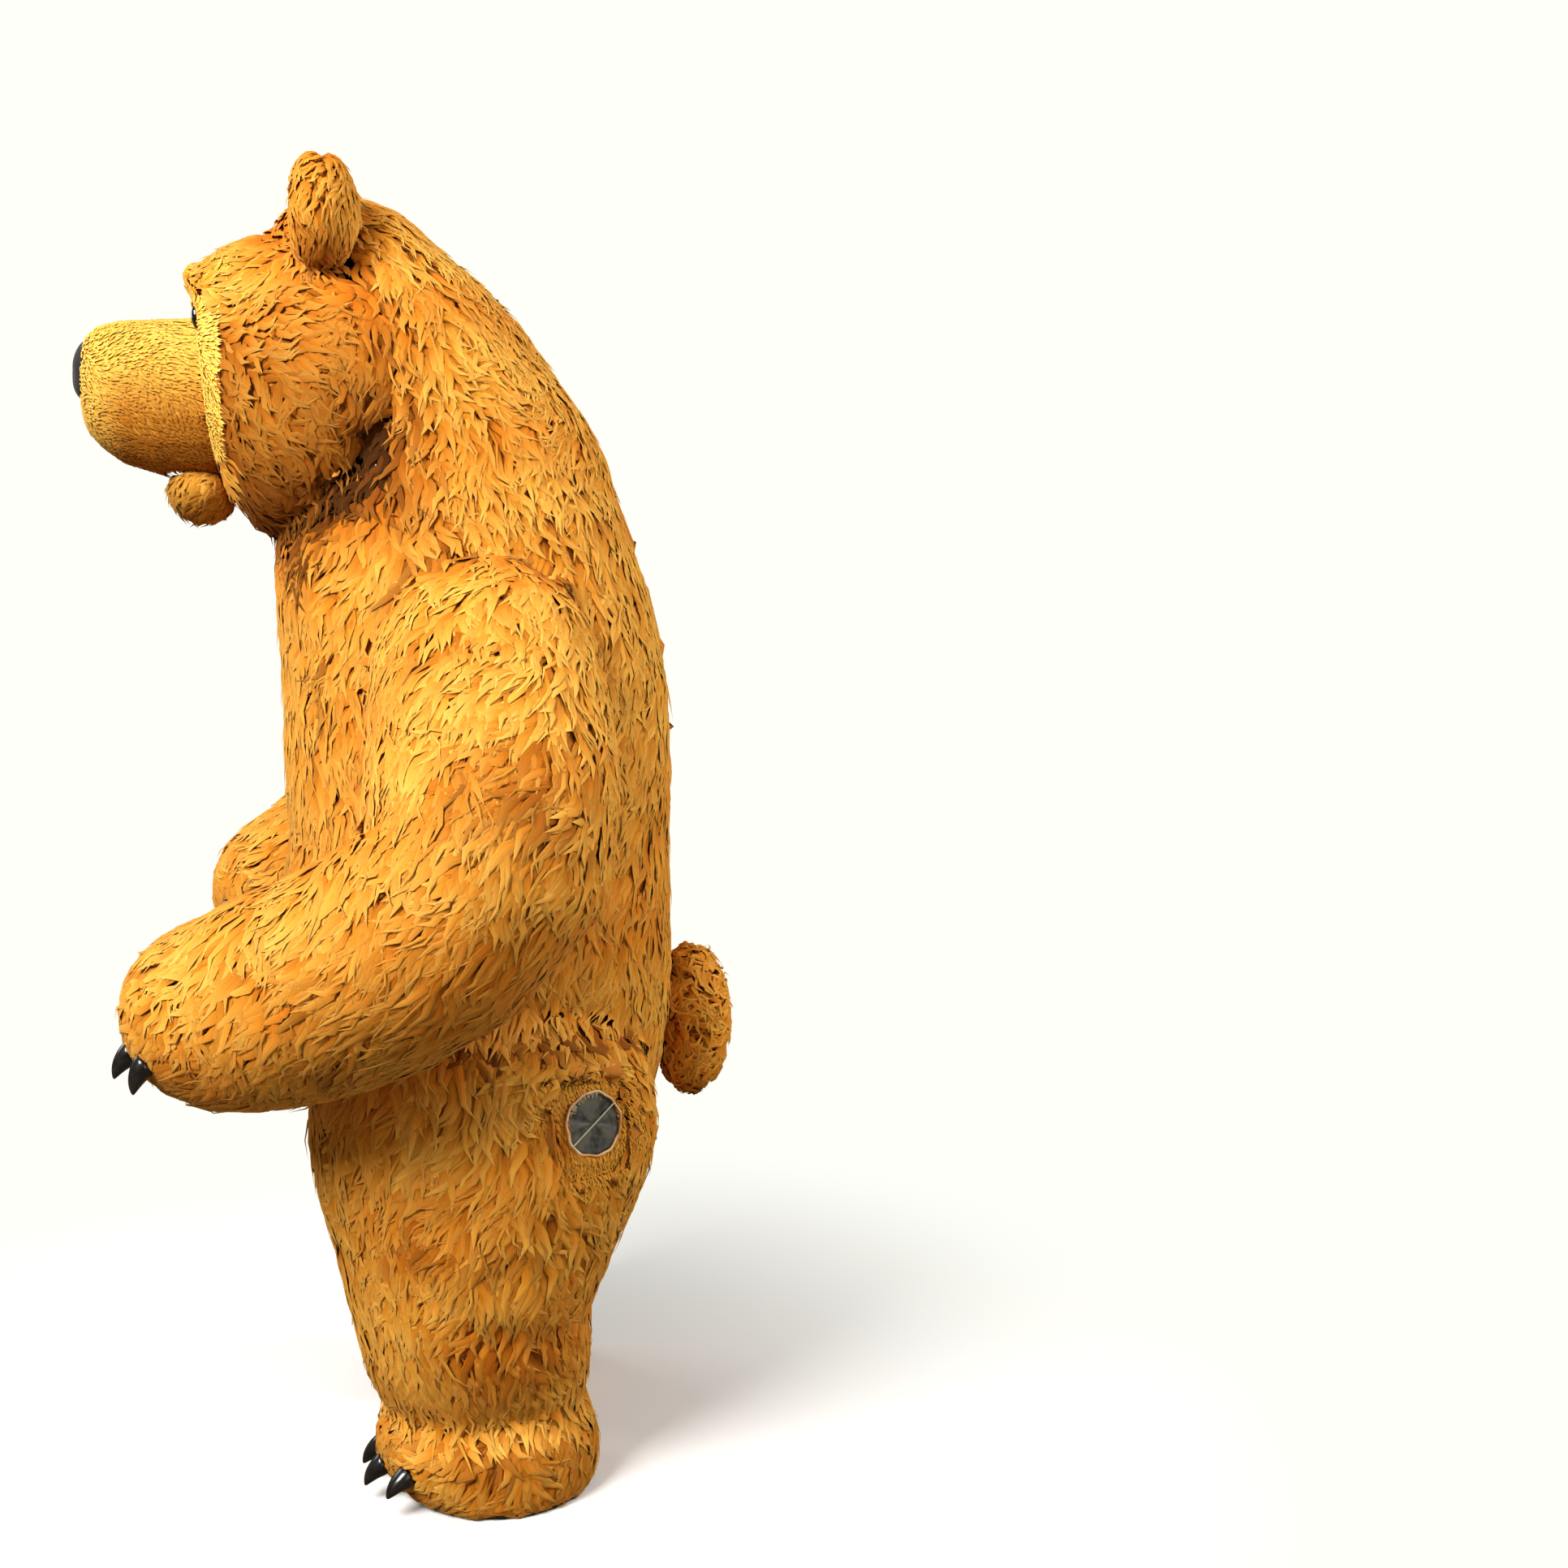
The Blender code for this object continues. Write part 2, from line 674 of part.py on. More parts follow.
def makeTorso(suit):
    turns = TURNS["body"]
    quarter = turns // 4
    top = suit.forms["body"].places[-1]
    back_left = suit.panel("torso_back_left", "body", "long_plush",
                           (0, quarter), (GUSSET_HEIGHT, NECK_HEIGHT))
    back_right = suit.panel("torso_back_right", "body", "long_plush",
                            (3 * quarter, turns), (GUSSET_HEIGHT, NECK_HEIGHT))
    front = suit.panel("torso_front", "body", "long_plush",
                       (quarter, 3 * quarter), (GUSSET_HEIGHT, NECK_HEIGHT))
    gusset = suit.panel("crotch_gusset", "body", "long_plush",
                        (0, turns), (0.0, GUSSET_HEIGHT))
    head = suit.panel("head_back", "body", "long_plush", (0, turns), (NECK_HEIGHT, top + 1))
    for word in ("left", "right"):
        leg = suit.inside("leg_" + word)
        for piece in (front, gusset, back_left if word == "left" else back_right):
            suit.cut(piece, leg)
        arm = suit.inside("arm_" + word)
        for piece in (front, back_left if word == "left" else back_right):
            suit.cut(piece, arm)
    suit.cut(front, suit.inside("face"))
    suit.cut(head, suit.inside("face"))
    slot = boxMesh("cut_zip", (-ZIP_HALF_WIDTH - SEAM, 0.05, ZIP_LOW - SEAM),
                   (ZIP_HALF_WIDTH + SEAM, 0.6, NECK_HEIGHT + SEAM))
    slot_cutter = suit.asCutter(slot, "cut_zip")
    suit.cut(back_left, slot_cutter)
    suit.cut(back_right, slot_cutter)


def makeZip(suit):
    # a narrow tape down the centre back, low between the two banks of pile
    body = suit.forms["body"]
    bm = bmesh.new()
    rows = []
    count = 12
    for k in range(count + 1):
        height = ZIP_LOW + (NECK_HEIGHT - 2 * SEAM - ZIP_LOW) * k / count
        row = []
        for x, drop in ((-1, ZIP_TOP_DEPTH), (1, ZIP_TOP_DEPTH), (1, WALL), (-1, WALL)):
            lowered = body.moved(0.0, height, -drop)
            row.append(bm.verts.new((x * ZIP_HALF_WIDTH, lowered.y, lowered.z)))
        rows.append(row)
    for near, far in zip(rows, rows[1:]):
        joinRings(bm, near, far, True)
    bm.faces.new(rows[0])
    bm.faces.new(rows[-1])
    suit.solid("back_zip", finishMesh(bm, "back_zip"), "zip_tape")


def makeFace(suit):
    turns = TURNS["face"]
    back = suit.forms["face"].places[-1]
    front = suit.forms["face"].places[0]
    mask = suit.panel("face_mask", "face", "short_plush", (0, turns), (front - 1, MASK_DEPTH))
    suit.cut(mask, suit.inside("snout"))
    spans = (
        ("brow", (-BROW_TURNS, BROW_TURNS)),
        ("cheek_left", (BROW_TURNS, turns // 2)),
        ("cheek_right", (turns // 2, turns - BROW_TURNS)),
    )
    for name, span in spans:
        piece = suit.panel(name, "face", "long_plush", span, (MASK_DEPTH, back + 1))
        suit.cut(piece, suit.outside("body"))
    snout = suit.solid("snout", formMesh(suit.forms["snout"], "snout", 0.0), "short_plush")
    suit.cut(snout, suit.inside("snout"), suit.outside("face"))
    mesh, place = roundPiece("nose", 1, "nose", 14, 8)
    nose = suit.solid("nose", mesh, "dark_felt", place, (math.radians(NOSE_TIP), 0, 0))
    suit.cut(nose, suit.outside("snout"))
    mesh, place = roundPiece("chin", 1, "chin", 14, 8)
    chin = suit.solid("chin", mesh, "short_plush", place)
    suit.cut(chin, suit.outside("face"), suit.outside("snout"))
    for side, word in ((1, "left"), (-1, "right")):
        mesh, place = roundPiece("eye", side, "eye_" + word, 12, 8)
        turned = (0, 0, side * math.radians(EYE_TURN))
        eye = suit.solid("eye_" + word, mesh, "black_gloss", place, turned)
        suit.cut(eye, suit.outside("face"), suit.outside("snout"))


def makeEars(suit):
    for side, word in ((1, "left"), (-1, "right")):
        lean = (0, side * math.radians(EAR_LEAN), 0)
        mesh, place = roundPiece("ear", side, "ear_" + word, 16, 10)
        ear = suit.solid("ear_" + word, mesh, "long_plush", place, lean)
        mesh, place = roundPiece("ear_hollow", side, "cut_ear_" + word, 14, 8)
        hollow = suit.asCutter(mesh, "cut_ear_" + word)
        hollow.location = place
        hollow.rotation_euler = lean
        suit.cut(ear, hollow, suit.outside("body"), suit.outside("face"))


def makeArms(suit):
    turns = TURNS["arm"]
    half = turns // 2
    for word in ("left", "right"):
        form = "arm_" + word
        body = suit.outside("body")
        outer = suit.panel("sleeve_outer_" + word, form, "long_plush", (0, half), (-1, WRIST))
        inner = suit.panel("sleeve_inner_" + word, form, "long_plush", (half, turns), (-1, WRIST))
        suit.cut(outer, body)
        suit.cut(inner, body)
        suit.panel("paw_" + word, form, "long_plush", (0, turns), (WRIST, 2))


def makeLegs(suit):
    turns = TURNS["leg"]
    half = turns // 2
    for side, word in ((1, "left"), (-1, "right")):
        form = "leg_" + word
        body = suit.outside("body")
        outer = suit.panel("leg_outer_" + word, form, "long_plush", (0, half), (ANKLE_HEIGHT, 2))
        inner = suit.panel("leg_inner_" + word, form, "long_plush", (half, turns), (ANKLE_HEIGHT, 2))
        suit.cut(outer, body)
        suit.cut(inner, body)
        suit.panel("foot_" + word, form, "long_plush", (0, turns), (SOLE_THICKNESS, ANKLE_HEIGHT))
        makeSole(suit, side, word)
        if word == "left":
            makeVent(suit, outer)


def makeSole(suit, side, word):
    # a flat plate with the outline of the foot where it meets the floor
    foot = suit.forms["leg_" + word]
    bm = bmesh.new()
    rings = []
    for z, height in ((0.0, 0.0), (SOLE_THICKNESS, SOLE_THICKNESS)):
        ring = []
        for k in range(foot.turns):
            point = foot.point(2 * math.pi * k / foot.turns, height)
            ring.append(bm.verts.new((point.x, point.y, z)))
        rings.append(ring)
    joinRings(bm, rings[0], rings[1], True)
    bm.faces.new(rings[0])
    bm.faces.new(rings[1])
    suit.solid("sole_" + word, finishMesh(bm, "sole_" + word), "sole_cloth")


def makeVent(suit, leg):
    # an air inlet in the left hip: a patch of short pile, a hole, its binding and a net
    form = suit.forms["leg_left"]
    turn = math.radians(VENT_TURN)
    place = form.point(turn, VENT_HEIGHT)
    outward = form.normal(turn, VENT_HEIGHT)
    facing = outward.to_track_quat("Z", "Y").to_euler()
    prism = boxMesh("cut_patch", (-PATCH_HALF_WIDTH - SEAM, -PATCH_HALF_HEIGHT - SEAM, -0.08),
                    (PATCH_HALF_WIDTH + SEAM, PATCH_HALF_HEIGHT + SEAM, 0.08))
    window = suit.asCutter(prism, "cut_patch")
    window.location = place
    window.rotation_euler = facing
    suit.cut(leg, window)

    patch = suit.panel("vent_patch", "leg_left", "short_plush", (0, form.turns // 4),
                       (VENT_HEIGHT - 0.15, VENT_HEIGHT + 0.13), WALL, PATCH_DROP)
    frame = suit.asCutter(boxMesh("cut_patch_frame", (-PATCH_HALF_WIDTH, -PATCH_HALF_HEIGHT, -0.07),
                                  (PATCH_HALF_WIDTH, PATCH_HALF_HEIGHT, 0.07)), "cut_patch_frame")
    frame.location = place
    frame.rotation_euler = facing
    keep = patch.modifiers.new("patch_outline", "BOOLEAN")
    keep.operation = "INTERSECT"
    keep.solver = "EXACT"
    keep.object = frame
    hole = suit.asCutter(tubeMesh("cut_vent", VENT_RADIUS, 0.0, -0.09, 0.09, VENT_SIDES), "cut_vent")
    hole.location = place
    hole.rotation_euler = facing
    suit.cut(patch, hole)

    inner = VENT_RADIUS - BINDING_WIDTH
    binding = tubeMesh("vent_binding", VENT_RADIUS - SEAM, inner, NET_LEVEL, BINDING_TOP, VENT_SIDES)
    suit.solid("vent_binding", binding, "cream_tape", place, facing)
    net_top = NET_LEVEL + NET_THICKNESS
    net = tubeMesh("vent_net", inner - SEAM, 0.0, NET_LEVEL, net_top, VENT_SIDES)
    suit.solid("vent_net", net, "vent_net", place, facing)

    # the cord lies straight across the net, from one flat side of the binding to the other
    reach = inner * math.cos(math.pi / VENT_SIDES) - SEAM
    bm = bmesh.new()
    level = Matrix.Rotation(math.radians(90), 4, "Y")
    turned = Matrix.Rotation(math.radians(CORD_TURN), 4, "Z")
    bmesh.ops.create_cone(bm, cap_ends=True, segments=8, radius1=CORD_RADIUS, radius2=CORD_RADIUS,
                          depth=2 * reach, matrix=turned @ level)
    bmesh.ops.translate(bm, vec=(0, 0, net_top + SEAM + CORD_RADIUS), verts=bm.verts)
    suit.solid("vent_cord", finishMesh(bm, "vent_cord"), "cream_tape", place, facing)


def pawPlace(arm, side, claw):
    # the turn and the share of the arm where its cloth faces the way the claw's row gives
    heading = (arm.centre(0.99) - arm.centre(0.9)).normalized()
    outward = Vector((side, 0.0, 0.0))
    outward = (outward - heading * outward.dot(heading)).normalized()
    sideways = math.radians(claw["sideways"])
    upwards = math.radians(claw["upwards"])
    facing = heading * math.cos(sideways) + outward * math.sin(sideways)
    facing = facing * math.cos(upwards) + Vector((0.0, 0.0, math.sin(upwards)))
    centre = arm.centre(0.9)
    spokes = [(arm.point(math.radians(angle), 0.9) - centre).normalized() for angle in range(0, 360, 2)]
    turn = math.radians(2 * max(range(180), key=lambda k: spokes[k].dot(facing)))
    shares = [WRIST + (1.0 - WRIST) * k / 200 for k in range(200)]
    share = max(shares, key=lambda place: arm.normal(turn, place).dot(facing))
    return turn, share


def makeClaws(suit):
    for side, word in ((1, "left"), (-1, "right")):
        arm = suit.forms["arm_" + word]
        for number, claw in enumerate(PAW_CLAWS, 1):
            turn, share = pawPlace(arm, side, claw)
            root = arm.moved(turn, share, -CLAW_SEAT)
            outward = arm.normal(turn, share)
            heading = (outward + Vector((0, -0.45, -0.45))).normalized()
            addClaw(suit, "claw_paw_%s_%d" % (word, number), root, heading, claw["droop"],
                    suit.outside("arm_" + word))
        leg = suit.forms["leg_" + word]
        for number, claw in enumerate(FOOT_CLAWS, 1):
            middle = smoothColumn(LEG, "height", "middle", claw["height"])
            width = smoothColumn(LEG, "height", "half_width", claw["height"])
            turn = math.pi - math.asin((claw["across"] - middle) / width)
            root = leg.moved(turn, claw["height"], -CLAW_SEAT)
            outward = leg.normal(turn, claw["height"])
            heading = (outward + Vector((0, -0.8, -0.1))).normalized()
            addClaw(suit, "claw_foot_%s_%d" % (word, number), root, heading, claw["droop"],
                    suit.outside("leg_" + word))


def addClaw(suit, name, root, heading, droop, skin):
    mesh = clawMesh(name, CLAW_LENGTH, CLAW_RADIUS, droop)
    yaw = math.atan2(heading.x, -heading.y)
    pitch = math.asin(heading.z)
    claw = suit.solid(name, mesh, "black_gloss", root, (-pitch, 0, yaw))
    suit.cut(claw, skin)


def makeTail(suit):
    mesh, place = roundPiece("tail", 1, "tail", 16, 10)
    tail = suit.solid("tail", mesh, "curly_plush", place)
    suit.cut(tail, suit.outside("body"))


def build():
    for old in list(bpy.data.objects):
        bpy.data.objects.remove(old, do_unlink=True)
    suit = Costume()
    makeTorso(suit)
    makeZip(suit)
    makeFace(suit)
    makeEars(suit)
    makeArms(suit)
    makeLegs(suit)
    makeClaws(suit)
    makeTail(suit)


build()
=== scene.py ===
import bpy
import bmesh
import math
import numpy as np
from mathutils import Matrix, Vector
from mathutils.bvhtree import BVHTree
from mathutils.kdtree import KDTree


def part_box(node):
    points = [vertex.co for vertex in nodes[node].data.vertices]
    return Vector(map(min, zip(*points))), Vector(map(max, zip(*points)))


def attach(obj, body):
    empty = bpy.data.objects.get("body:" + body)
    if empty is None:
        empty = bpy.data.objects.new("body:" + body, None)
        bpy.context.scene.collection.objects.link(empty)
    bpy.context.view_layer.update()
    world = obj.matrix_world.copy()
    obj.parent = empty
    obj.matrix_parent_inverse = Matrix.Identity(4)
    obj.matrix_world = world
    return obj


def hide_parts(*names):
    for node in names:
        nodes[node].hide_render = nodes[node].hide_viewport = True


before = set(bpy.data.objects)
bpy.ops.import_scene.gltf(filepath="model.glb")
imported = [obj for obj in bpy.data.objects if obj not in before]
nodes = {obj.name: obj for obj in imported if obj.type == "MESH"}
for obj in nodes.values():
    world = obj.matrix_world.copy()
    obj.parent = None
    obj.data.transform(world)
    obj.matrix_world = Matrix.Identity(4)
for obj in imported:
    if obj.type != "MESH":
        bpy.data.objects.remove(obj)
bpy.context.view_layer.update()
sides = {"left": 1, "right": -1}      # the suit's left side is +X


# Camera, at the photograph's side view: the suit stands left of the middle of the frame

cameraView = {
    "place": (4.4, 0.121, 2.05),
    "yaw": 8.11,          # degrees that it looks past the suit, towards the suit's back
    "pitch": 8.7,         # degrees down
    "lens": 49.5,         # mm, on a 36 mm wide frame
}


def makeCamera():
    yaw = math.radians(cameraView["yaw"])
    pitch = math.radians(cameraView["pitch"])
    ahead = Vector((-math.cos(yaw) * math.cos(pitch), math.sin(yaw) * math.cos(pitch), -math.sin(pitch)))
    bpy.ops.object.camera_add(location=cameraView["place"])
    camera = bpy.context.object
    camera.name = "photoCamera"
    camera.rotation_euler = ahead.to_track_quat("-Z", "Y").to_euler()
    camera.data.lens = cameraView["lens"]
    camera.data.sensor_width = 36.0
    camera.data.clip_end = 200.0
    bpy.context.scene.camera = camera


makeCamera()
print("camera done")


# Small helpers

def linear(hexColour):
    # an sRGB hex colour as linear RGBA
    channels = [int(hexColour[k:k + 2], 16) / 255 for k in (1, 3, 5)]
    lit = [c / 12.92 if c <= 0.04045 else ((c + 0.055) / 1.055) ** 2.4 for c in channels]
    return (*lit, 1.0)


def addNode(material, kind, inputs=None, **settings):
    # one shader node with its settings, its constants and its links
    node = material.node_tree.nodes.new(kind)
    for name, value in settings.items():
        setattr(node, name, value)
    for name, value in (inputs or {}).items():
        socket = node.inputs[name]
        if isinstance(value, bpy.types.NodeSocket):
            material.node_tree.links.new(value, socket)
        else:
            socket.default_value = value
    return node


def addRamp(material, fac, stops):
    ramp = addNode(material, "ShaderNodeValToRGB", {"Fac": fac})
    elements = ramp.color_ramp.elements
    elements[0].position, elements[0].color = stops[0]
    elements[1].position, elements[1].color = stops[-1]
    for position, colour in stops[1:-1]:
        elements.new(position).color = colour
    return ramp.outputs["Color"]


def newMaterial(name):
    material = bpy.data.materials.new(name)
    material.use_nodes = True
    return material, material.node_tree.nodes["Principled BSDF"]


def addNoise(material, scale, detail):
    # noise over the piece's own coordinates
    place = addNode(material, "ShaderNodeTexCoord")
    noise = addNode(material, "ShaderNodeTexNoise",
                    {"Vector": place.outputs["Object"], "Scale": scale, "Detail": detail})
    return noise.outputs["Fac"]


def finishMaterial(material, shader, colour, height, strength, distance, roughness):
    # the colour, the bump and the roughness of a material
    bump = addNode(material, "ShaderNodeBump", {"Height": height, "Strength": strength, "Distance": distance})
    material.node_tree.links.new(colour, shader.inputs["Base Color"])
    material.node_tree.links.new(bump.outputs["Normal"], shader.inputs["Normal"])
    shader.inputs["Roughness"].default_value = roughness


def addPiece(name, data):
    piece = bpy.data.objects.new(name, data)
    bpy.context.collection.objects.link(piece)
    return piece


def selectOnly(piece):
    bpy.ops.object.select_all(action="DESELECT")
    piece.select_set(True)
    bpy.context.view_layer.objects.active = piece


def wear(piece, material):
    piece.data.materials.clear()
    piece.data.materials.append(material)
    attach(piece, "root")


def ripple(points, wavelength, seed, waves=5):
    # a smooth value from about -1 to 1 at each point, the same on every run
    source = np.random.default_rng(seed)
    total = np.zeros(len(points))
    for _ in range(waves):
        heading = source.normal(size=3)
        heading /= np.linalg.norm(heading)
        size = wavelength * source.uniform(0.7, 1.5)
        total += np.sin(points @ heading * (2 * math.pi / size) + source.uniform(0, 2 * math.pi))
    return total / math.sqrt(waves * 0.5) * 0.7


def unit(vectors):
    return vectors / np.maximum(np.linalg.norm(vectors, axis=-1, keepdims=True), 1e-9)


# The suit's outside: every face of a solid that some straight line leaves for the open air

def meshArrays(node):
    mesh = node.data
    points = np.empty(len(mesh.vertices) * 3)
    mesh.vertices.foreach_get("co", points)
    corners = np.array([polygon.vertices[:] for polygon in mesh.polygons])
    return points.reshape(-1, 3), corners


def spreadHeadings(count):
    index = np.arange(count) + 0.5
    height = 1 - 2 * index / count
    turn = math.pi * (1 + math.sqrt(5)) * index
    ring = np.sqrt(1 - height ** 2)
    return [Vector((r * math.cos(t), r * math.sin(t), h)) for r, t, h in zip(ring, turn, height)]


openAir = {
    "headings": 48,
    "flattest": 0.15,     # how far at least a line rises from the face that it leaves
    "off": 0.002,         # where it starts, off the face
}


def findOutside(names):
    allPoints = []
    allFaces = []
    start = 0
    shapes = {}
    for name in sorted(nodes):
        points, corners = meshArrays(nodes[name])
        shapes[name] = (points, corners)
        allPoints += [Vector(p) for p in points]
        allFaces += [tuple(int(v) for v in face) for face in corners + start]
        start += len(points)
    tree = BVHTree.FromPolygons(allPoints, allFaces)
    headings = spreadHeadings(openAir["headings"])
    found = {}
    for name in names:
        points, corners = shapes[name]
        a, b, c = (points[corners[:, k]] for k in range(3))
        across = np.cross(b - a, c - a)
        size = np.linalg.norm(across, axis=1)
        keep = []
        for k in range(len(corners)):
            if size[k] < 1e-10:
                continue
            normal = Vector(across[k] / size[k])
            origin = Vector((a[k] + b[k] + c[k]) / 3) + normal * openAir["off"]
            free = tree.ray_cast(origin, normal)[0] is None
            for heading in headings:
                if free:
                    break
                if heading.dot(normal) > openAir["flattest"]:
                    free = tree.ray_cast(origin, heading)[0] is None
            if free:
                keep.append(k)
        found[name] = (points, corners[keep])
    return found


longPanels = ["torso_front", "torso_back_left", "torso_back_right", "crotch_gusset", "head_back", "brow",
              "cheek_left", "cheek_right", "ear_left", "ear_right", "paw_left", "paw_right",
              "foot_left", "foot_right", "sleeve_outer_left", "sleeve_outer_right", "sleeve_inner_left",
              "sleeve_inner_right", "leg_outer_left", "leg_outer_right", "leg_inner_left", "leg_inner_right"]
shortPanels = ["face_mask", "snout", "chin", "vent_patch"]
furPanels = longPanels + shortPanels + ["tail"]


def finer(points, corners):
    # each face split in four, so that creases can be pressed into it
    a, b, c = (points[corners[:, k]] for k in range(3))
    spread = np.concatenate((a, b, c, (a + b) / 2, (b + c) / 2, (c + a) / 2))
    index = np.arange(len(corners))
    parts = [(0, 3, 5), (3, 1, 4), (5, 4, 2), (3, 4, 5)]
    return spread, np.concatenate([np.stack([index + k * len(corners) for k in part], 1) for part in parts])


outside = {name: finer(*shape) for name, shape in findOutside(furPanels).items()}
print("outside found", {name: len(faces) for name, (points, faces) in outside.items()})


class Surface:
    # the outside of some panels as one smooth surface that answers for the nearest place on it

    def __init__(self, names):
        points = []
        corners = []
        count = 0
        for name in names:
            co, faces = outside[name]
            points.append(co)
            corners.append(faces + count)
            count += len(co)
        self.points = np.concatenate(points)
        self.corners = np.concatenate(corners)
        a, b, c = (self.points[self.corners[:, k]] for k in range(3))
        across = np.cross(b - a, c - a)
        sums = {}
        keys = [tuple(v) for v in np.round(self.points, 3)]
        for k in range(3):
            for vertex, vector in zip(self.corners[:, k], across):
                key = keys[vertex]
                sums[key] = sums.get(key, 0) + vector
        blank = np.array((0.0, 0.0, 1.0))
        self.normals = unit(np.array([sums.get(key, blank) for key in keys]))
        self.tree = BVHTree.FromPolygons([Vector(p) for p in self.points],
                                         [tuple(int(v) for v in face) for face in self.corners])

    def weights(self, places, faces):
        a, b, c = (self.points[self.corners[faces, k]] for k in range(3))
        first, second, offset = b - a, c - a, places - a
        d00 = (first * first).sum(1)
        d01 = (first * second).sum(1)
        d11 = (second * second).sum(1)
        d20 = (offset * first).sum(1)
        d21 = (offset * second).sum(1)
        below = np.maximum(d00 * d11 - d01 * d01, 1e-18)
        v = np.clip((d11 * d20 - d01 * d21) / below, 0, 1)
        w = np.clip((d00 * d21 - d01 * d20) / below, 0, 1)
        return np.stack((1 - v - w, v, w), 1)

    def nearest(self, places):
        spots = np.empty_like(places)
        faces = np.empty(len(places), int)
        for k, place in enumerate(places):
            spot, _, face, _ = self.tree.find_nearest(Vector(place))
            spots[k] = spot
            faces[k] = face
        share = self.weights(spots, faces)
        normals = sum(self.normals[self.corners[faces, k]] * share[:, k:k + 1] for k in range(3))
        return spots, unit(normals)


# Creases of the left side, also laid on the right: a line over the cloth, how deep it is pressed in,
# how wide it runs out, and how far the pile in it lies in shade

creases = {
    "jowl": {"deep": 0.006, "wide": 0.042, "shade": 0.95, "line": [
        (0.152, -0.237, 1.885), (0.248, -0.151, 1.950), (0.267, -0.095, 2.027), (0.288, -0.058, 2.113)]},
    "behindJowl": {"deep": 0.003, "wide": 0.020, "shade": 0.60, "line": [
        (0.288, -0.058, 2.113), (0.287, -0.006, 2.147)]},
    "earFoot": {"deep": 0.006, "wide": 0.020, "shade": 0.50, "line": [
        (0.246, -0.129, 2.378), (0.239, -0.085, 2.385), (0.229, -0.052, 2.398)]},
    "shoulderSeam": {"deep": 0.005, "wide": 0.016, "shade": 0.45, "line": [
        (0.335, -0.029, 1.865), (0.340, 0.082, 1.908), (0.330, 0.194, 1.889), (0.306, 0.289, 1.836),
        (0.291, 0.350, 1.747), (0.292, 0.376, 1.657)]},
    "shoulderPleat": {"deep": 0.006, "wide": 0.010, "shade": 0.45, "line": [
        (0.466, -0.011, 1.746), (0.535, 0.082, 1.758), (0.555, 0.154, 1.748)]},
    "elbowAbove": {"deep": 0.016, "wide": 0.016, "shade": 0.35, "line": [
        (0.745, 0.198, 1.514), (0.701, 0.244, 1.549), (0.624, 0.296, 1.587)]},
    "elbowAcross": {"deep": 0.014, "wide": 0.015, "shade": 0.32, "line": [
        (0.731, 0.149, 1.555), (0.742, 0.201, 1.522), (0.716, 0.274, 1.494)]},
    "elbowBelow": {"deep": 0.013, "wide": 0.016, "shade": 0.32, "line": [
        (0.746, 0.210, 1.506), (0.729, 0.270, 1.457), (0.709, 0.298, 1.422)]},
    # a raised ridge: its negative shade paints its pile lighter, a painted highlight
    "elbowRidge": {"deep": -0.009, "wide": 0.013, "shade": -0.20, "line": [
        (0.568, 0.234, 1.708), (0.633, 0.272, 1.611), (0.600, 0.337, 1.537)]},
    "hipSeam": {"deep": 0.009, "wide": 0.018, "shade": 0.75, "line": [
        (0.405, 0.060, 0.985), (0.415, 0.120, 0.982), (0.408, 0.200, 0.977), (0.378, 0.277, 0.971),
        (0.291, 0.384, 0.939)]},
    "thighFold": {"deep": 0.013, "wide": 0.020, "shade": 0.45, "line": [
        (0.489, -0.040, 0.631), (0.518, 0.081, 0.623), (0.503, 0.218, 0.617)]},
    "kneeFold": {"deep": 0.014, "wide": 0.018, "shade": 0.45, "line": [
        (0.494, 0.076, 0.392), (0.481, 0.156, 0.370), (0.415, 0.251, 0.348)]},
    "ankleFold": {"deep": 0.013, "wide": 0.018, "shade": 0.40, "line": [
        (0.382, -0.050, 0.165), (0.437, 0.044, 0.160), (0.425, 0.160, 0.176), (0.373, 0.287, 0.150)]},
    "pawFold": {"deep": 0.006, "wide": 0.030, "shade": 0.40, "line": [
        (0.804, -0.110, 1.118), (0.759, -0.098, 1.020)]},
    "chestFold": {"deep": 0.004, "wide": 0.020, "shade": 0.60, "line": [
        (0.274, -0.170, 1.703), (0.277, -0.166, 1.611)]},
    "backSeam": {"deep": 0.002, "wide": 0.010, "shade": 0.30, "line": [
        (0.0, 0.505, 1.310), (0.0, 0.515, 1.420), (0.0, 0.507, 1.600), (0.0, 0.483, 1.720),
        (0.0, 0.456, 1.820), (0.0, 0.433, 1.900), (0.0, 0.412, 1.970)]},
}
ventArc = {"deep": 0.004, "wide": 0.010, "shade": 0.40, "line": [
    (0.493, 0.239, 0.737), (0.477, 0.234, 0.816), (0.453, 0.242, 0.878), (0.421, 0.288, 0.913),
    (0.378, 0.362, 0.897), (0.386, 0.387, 0.834)]}


def creaseAt(places):
    # how deep the cloth is pressed in at each place, and how far its pile lies in shade
    deep = np.zeros(len(places))
    shade = np.zeros(len(places))
    mirrored = [(fold, (side, 1, 1)) for fold in creases.values() for side in (1, -1)]
    for fold, side in mirrored + [(ventArc, (1, 1, 1))]:
        line = np.array(fold["line"]) * side
        away = np.full(len(places), 9.0)
        for a, b in zip(line, line[1:]):
            share = np.clip((places - a) @ (b - a) / ((b - a) @ (b - a)), 0, 1)
            away = np.minimum(away, np.linalg.norm(places - a - share[:, None] * (b - a), axis=1))
        press = np.exp(-(away / fold["wide"]) ** 2)
        deep = np.where(np.abs(fold["deep"] * press) > np.abs(deep), fold["deep"] * press, deep)
        shade = np.where(np.abs(fold["shade"] * press) > np.abs(shade), fold["shade"] * press, shade)
    return deep, shade


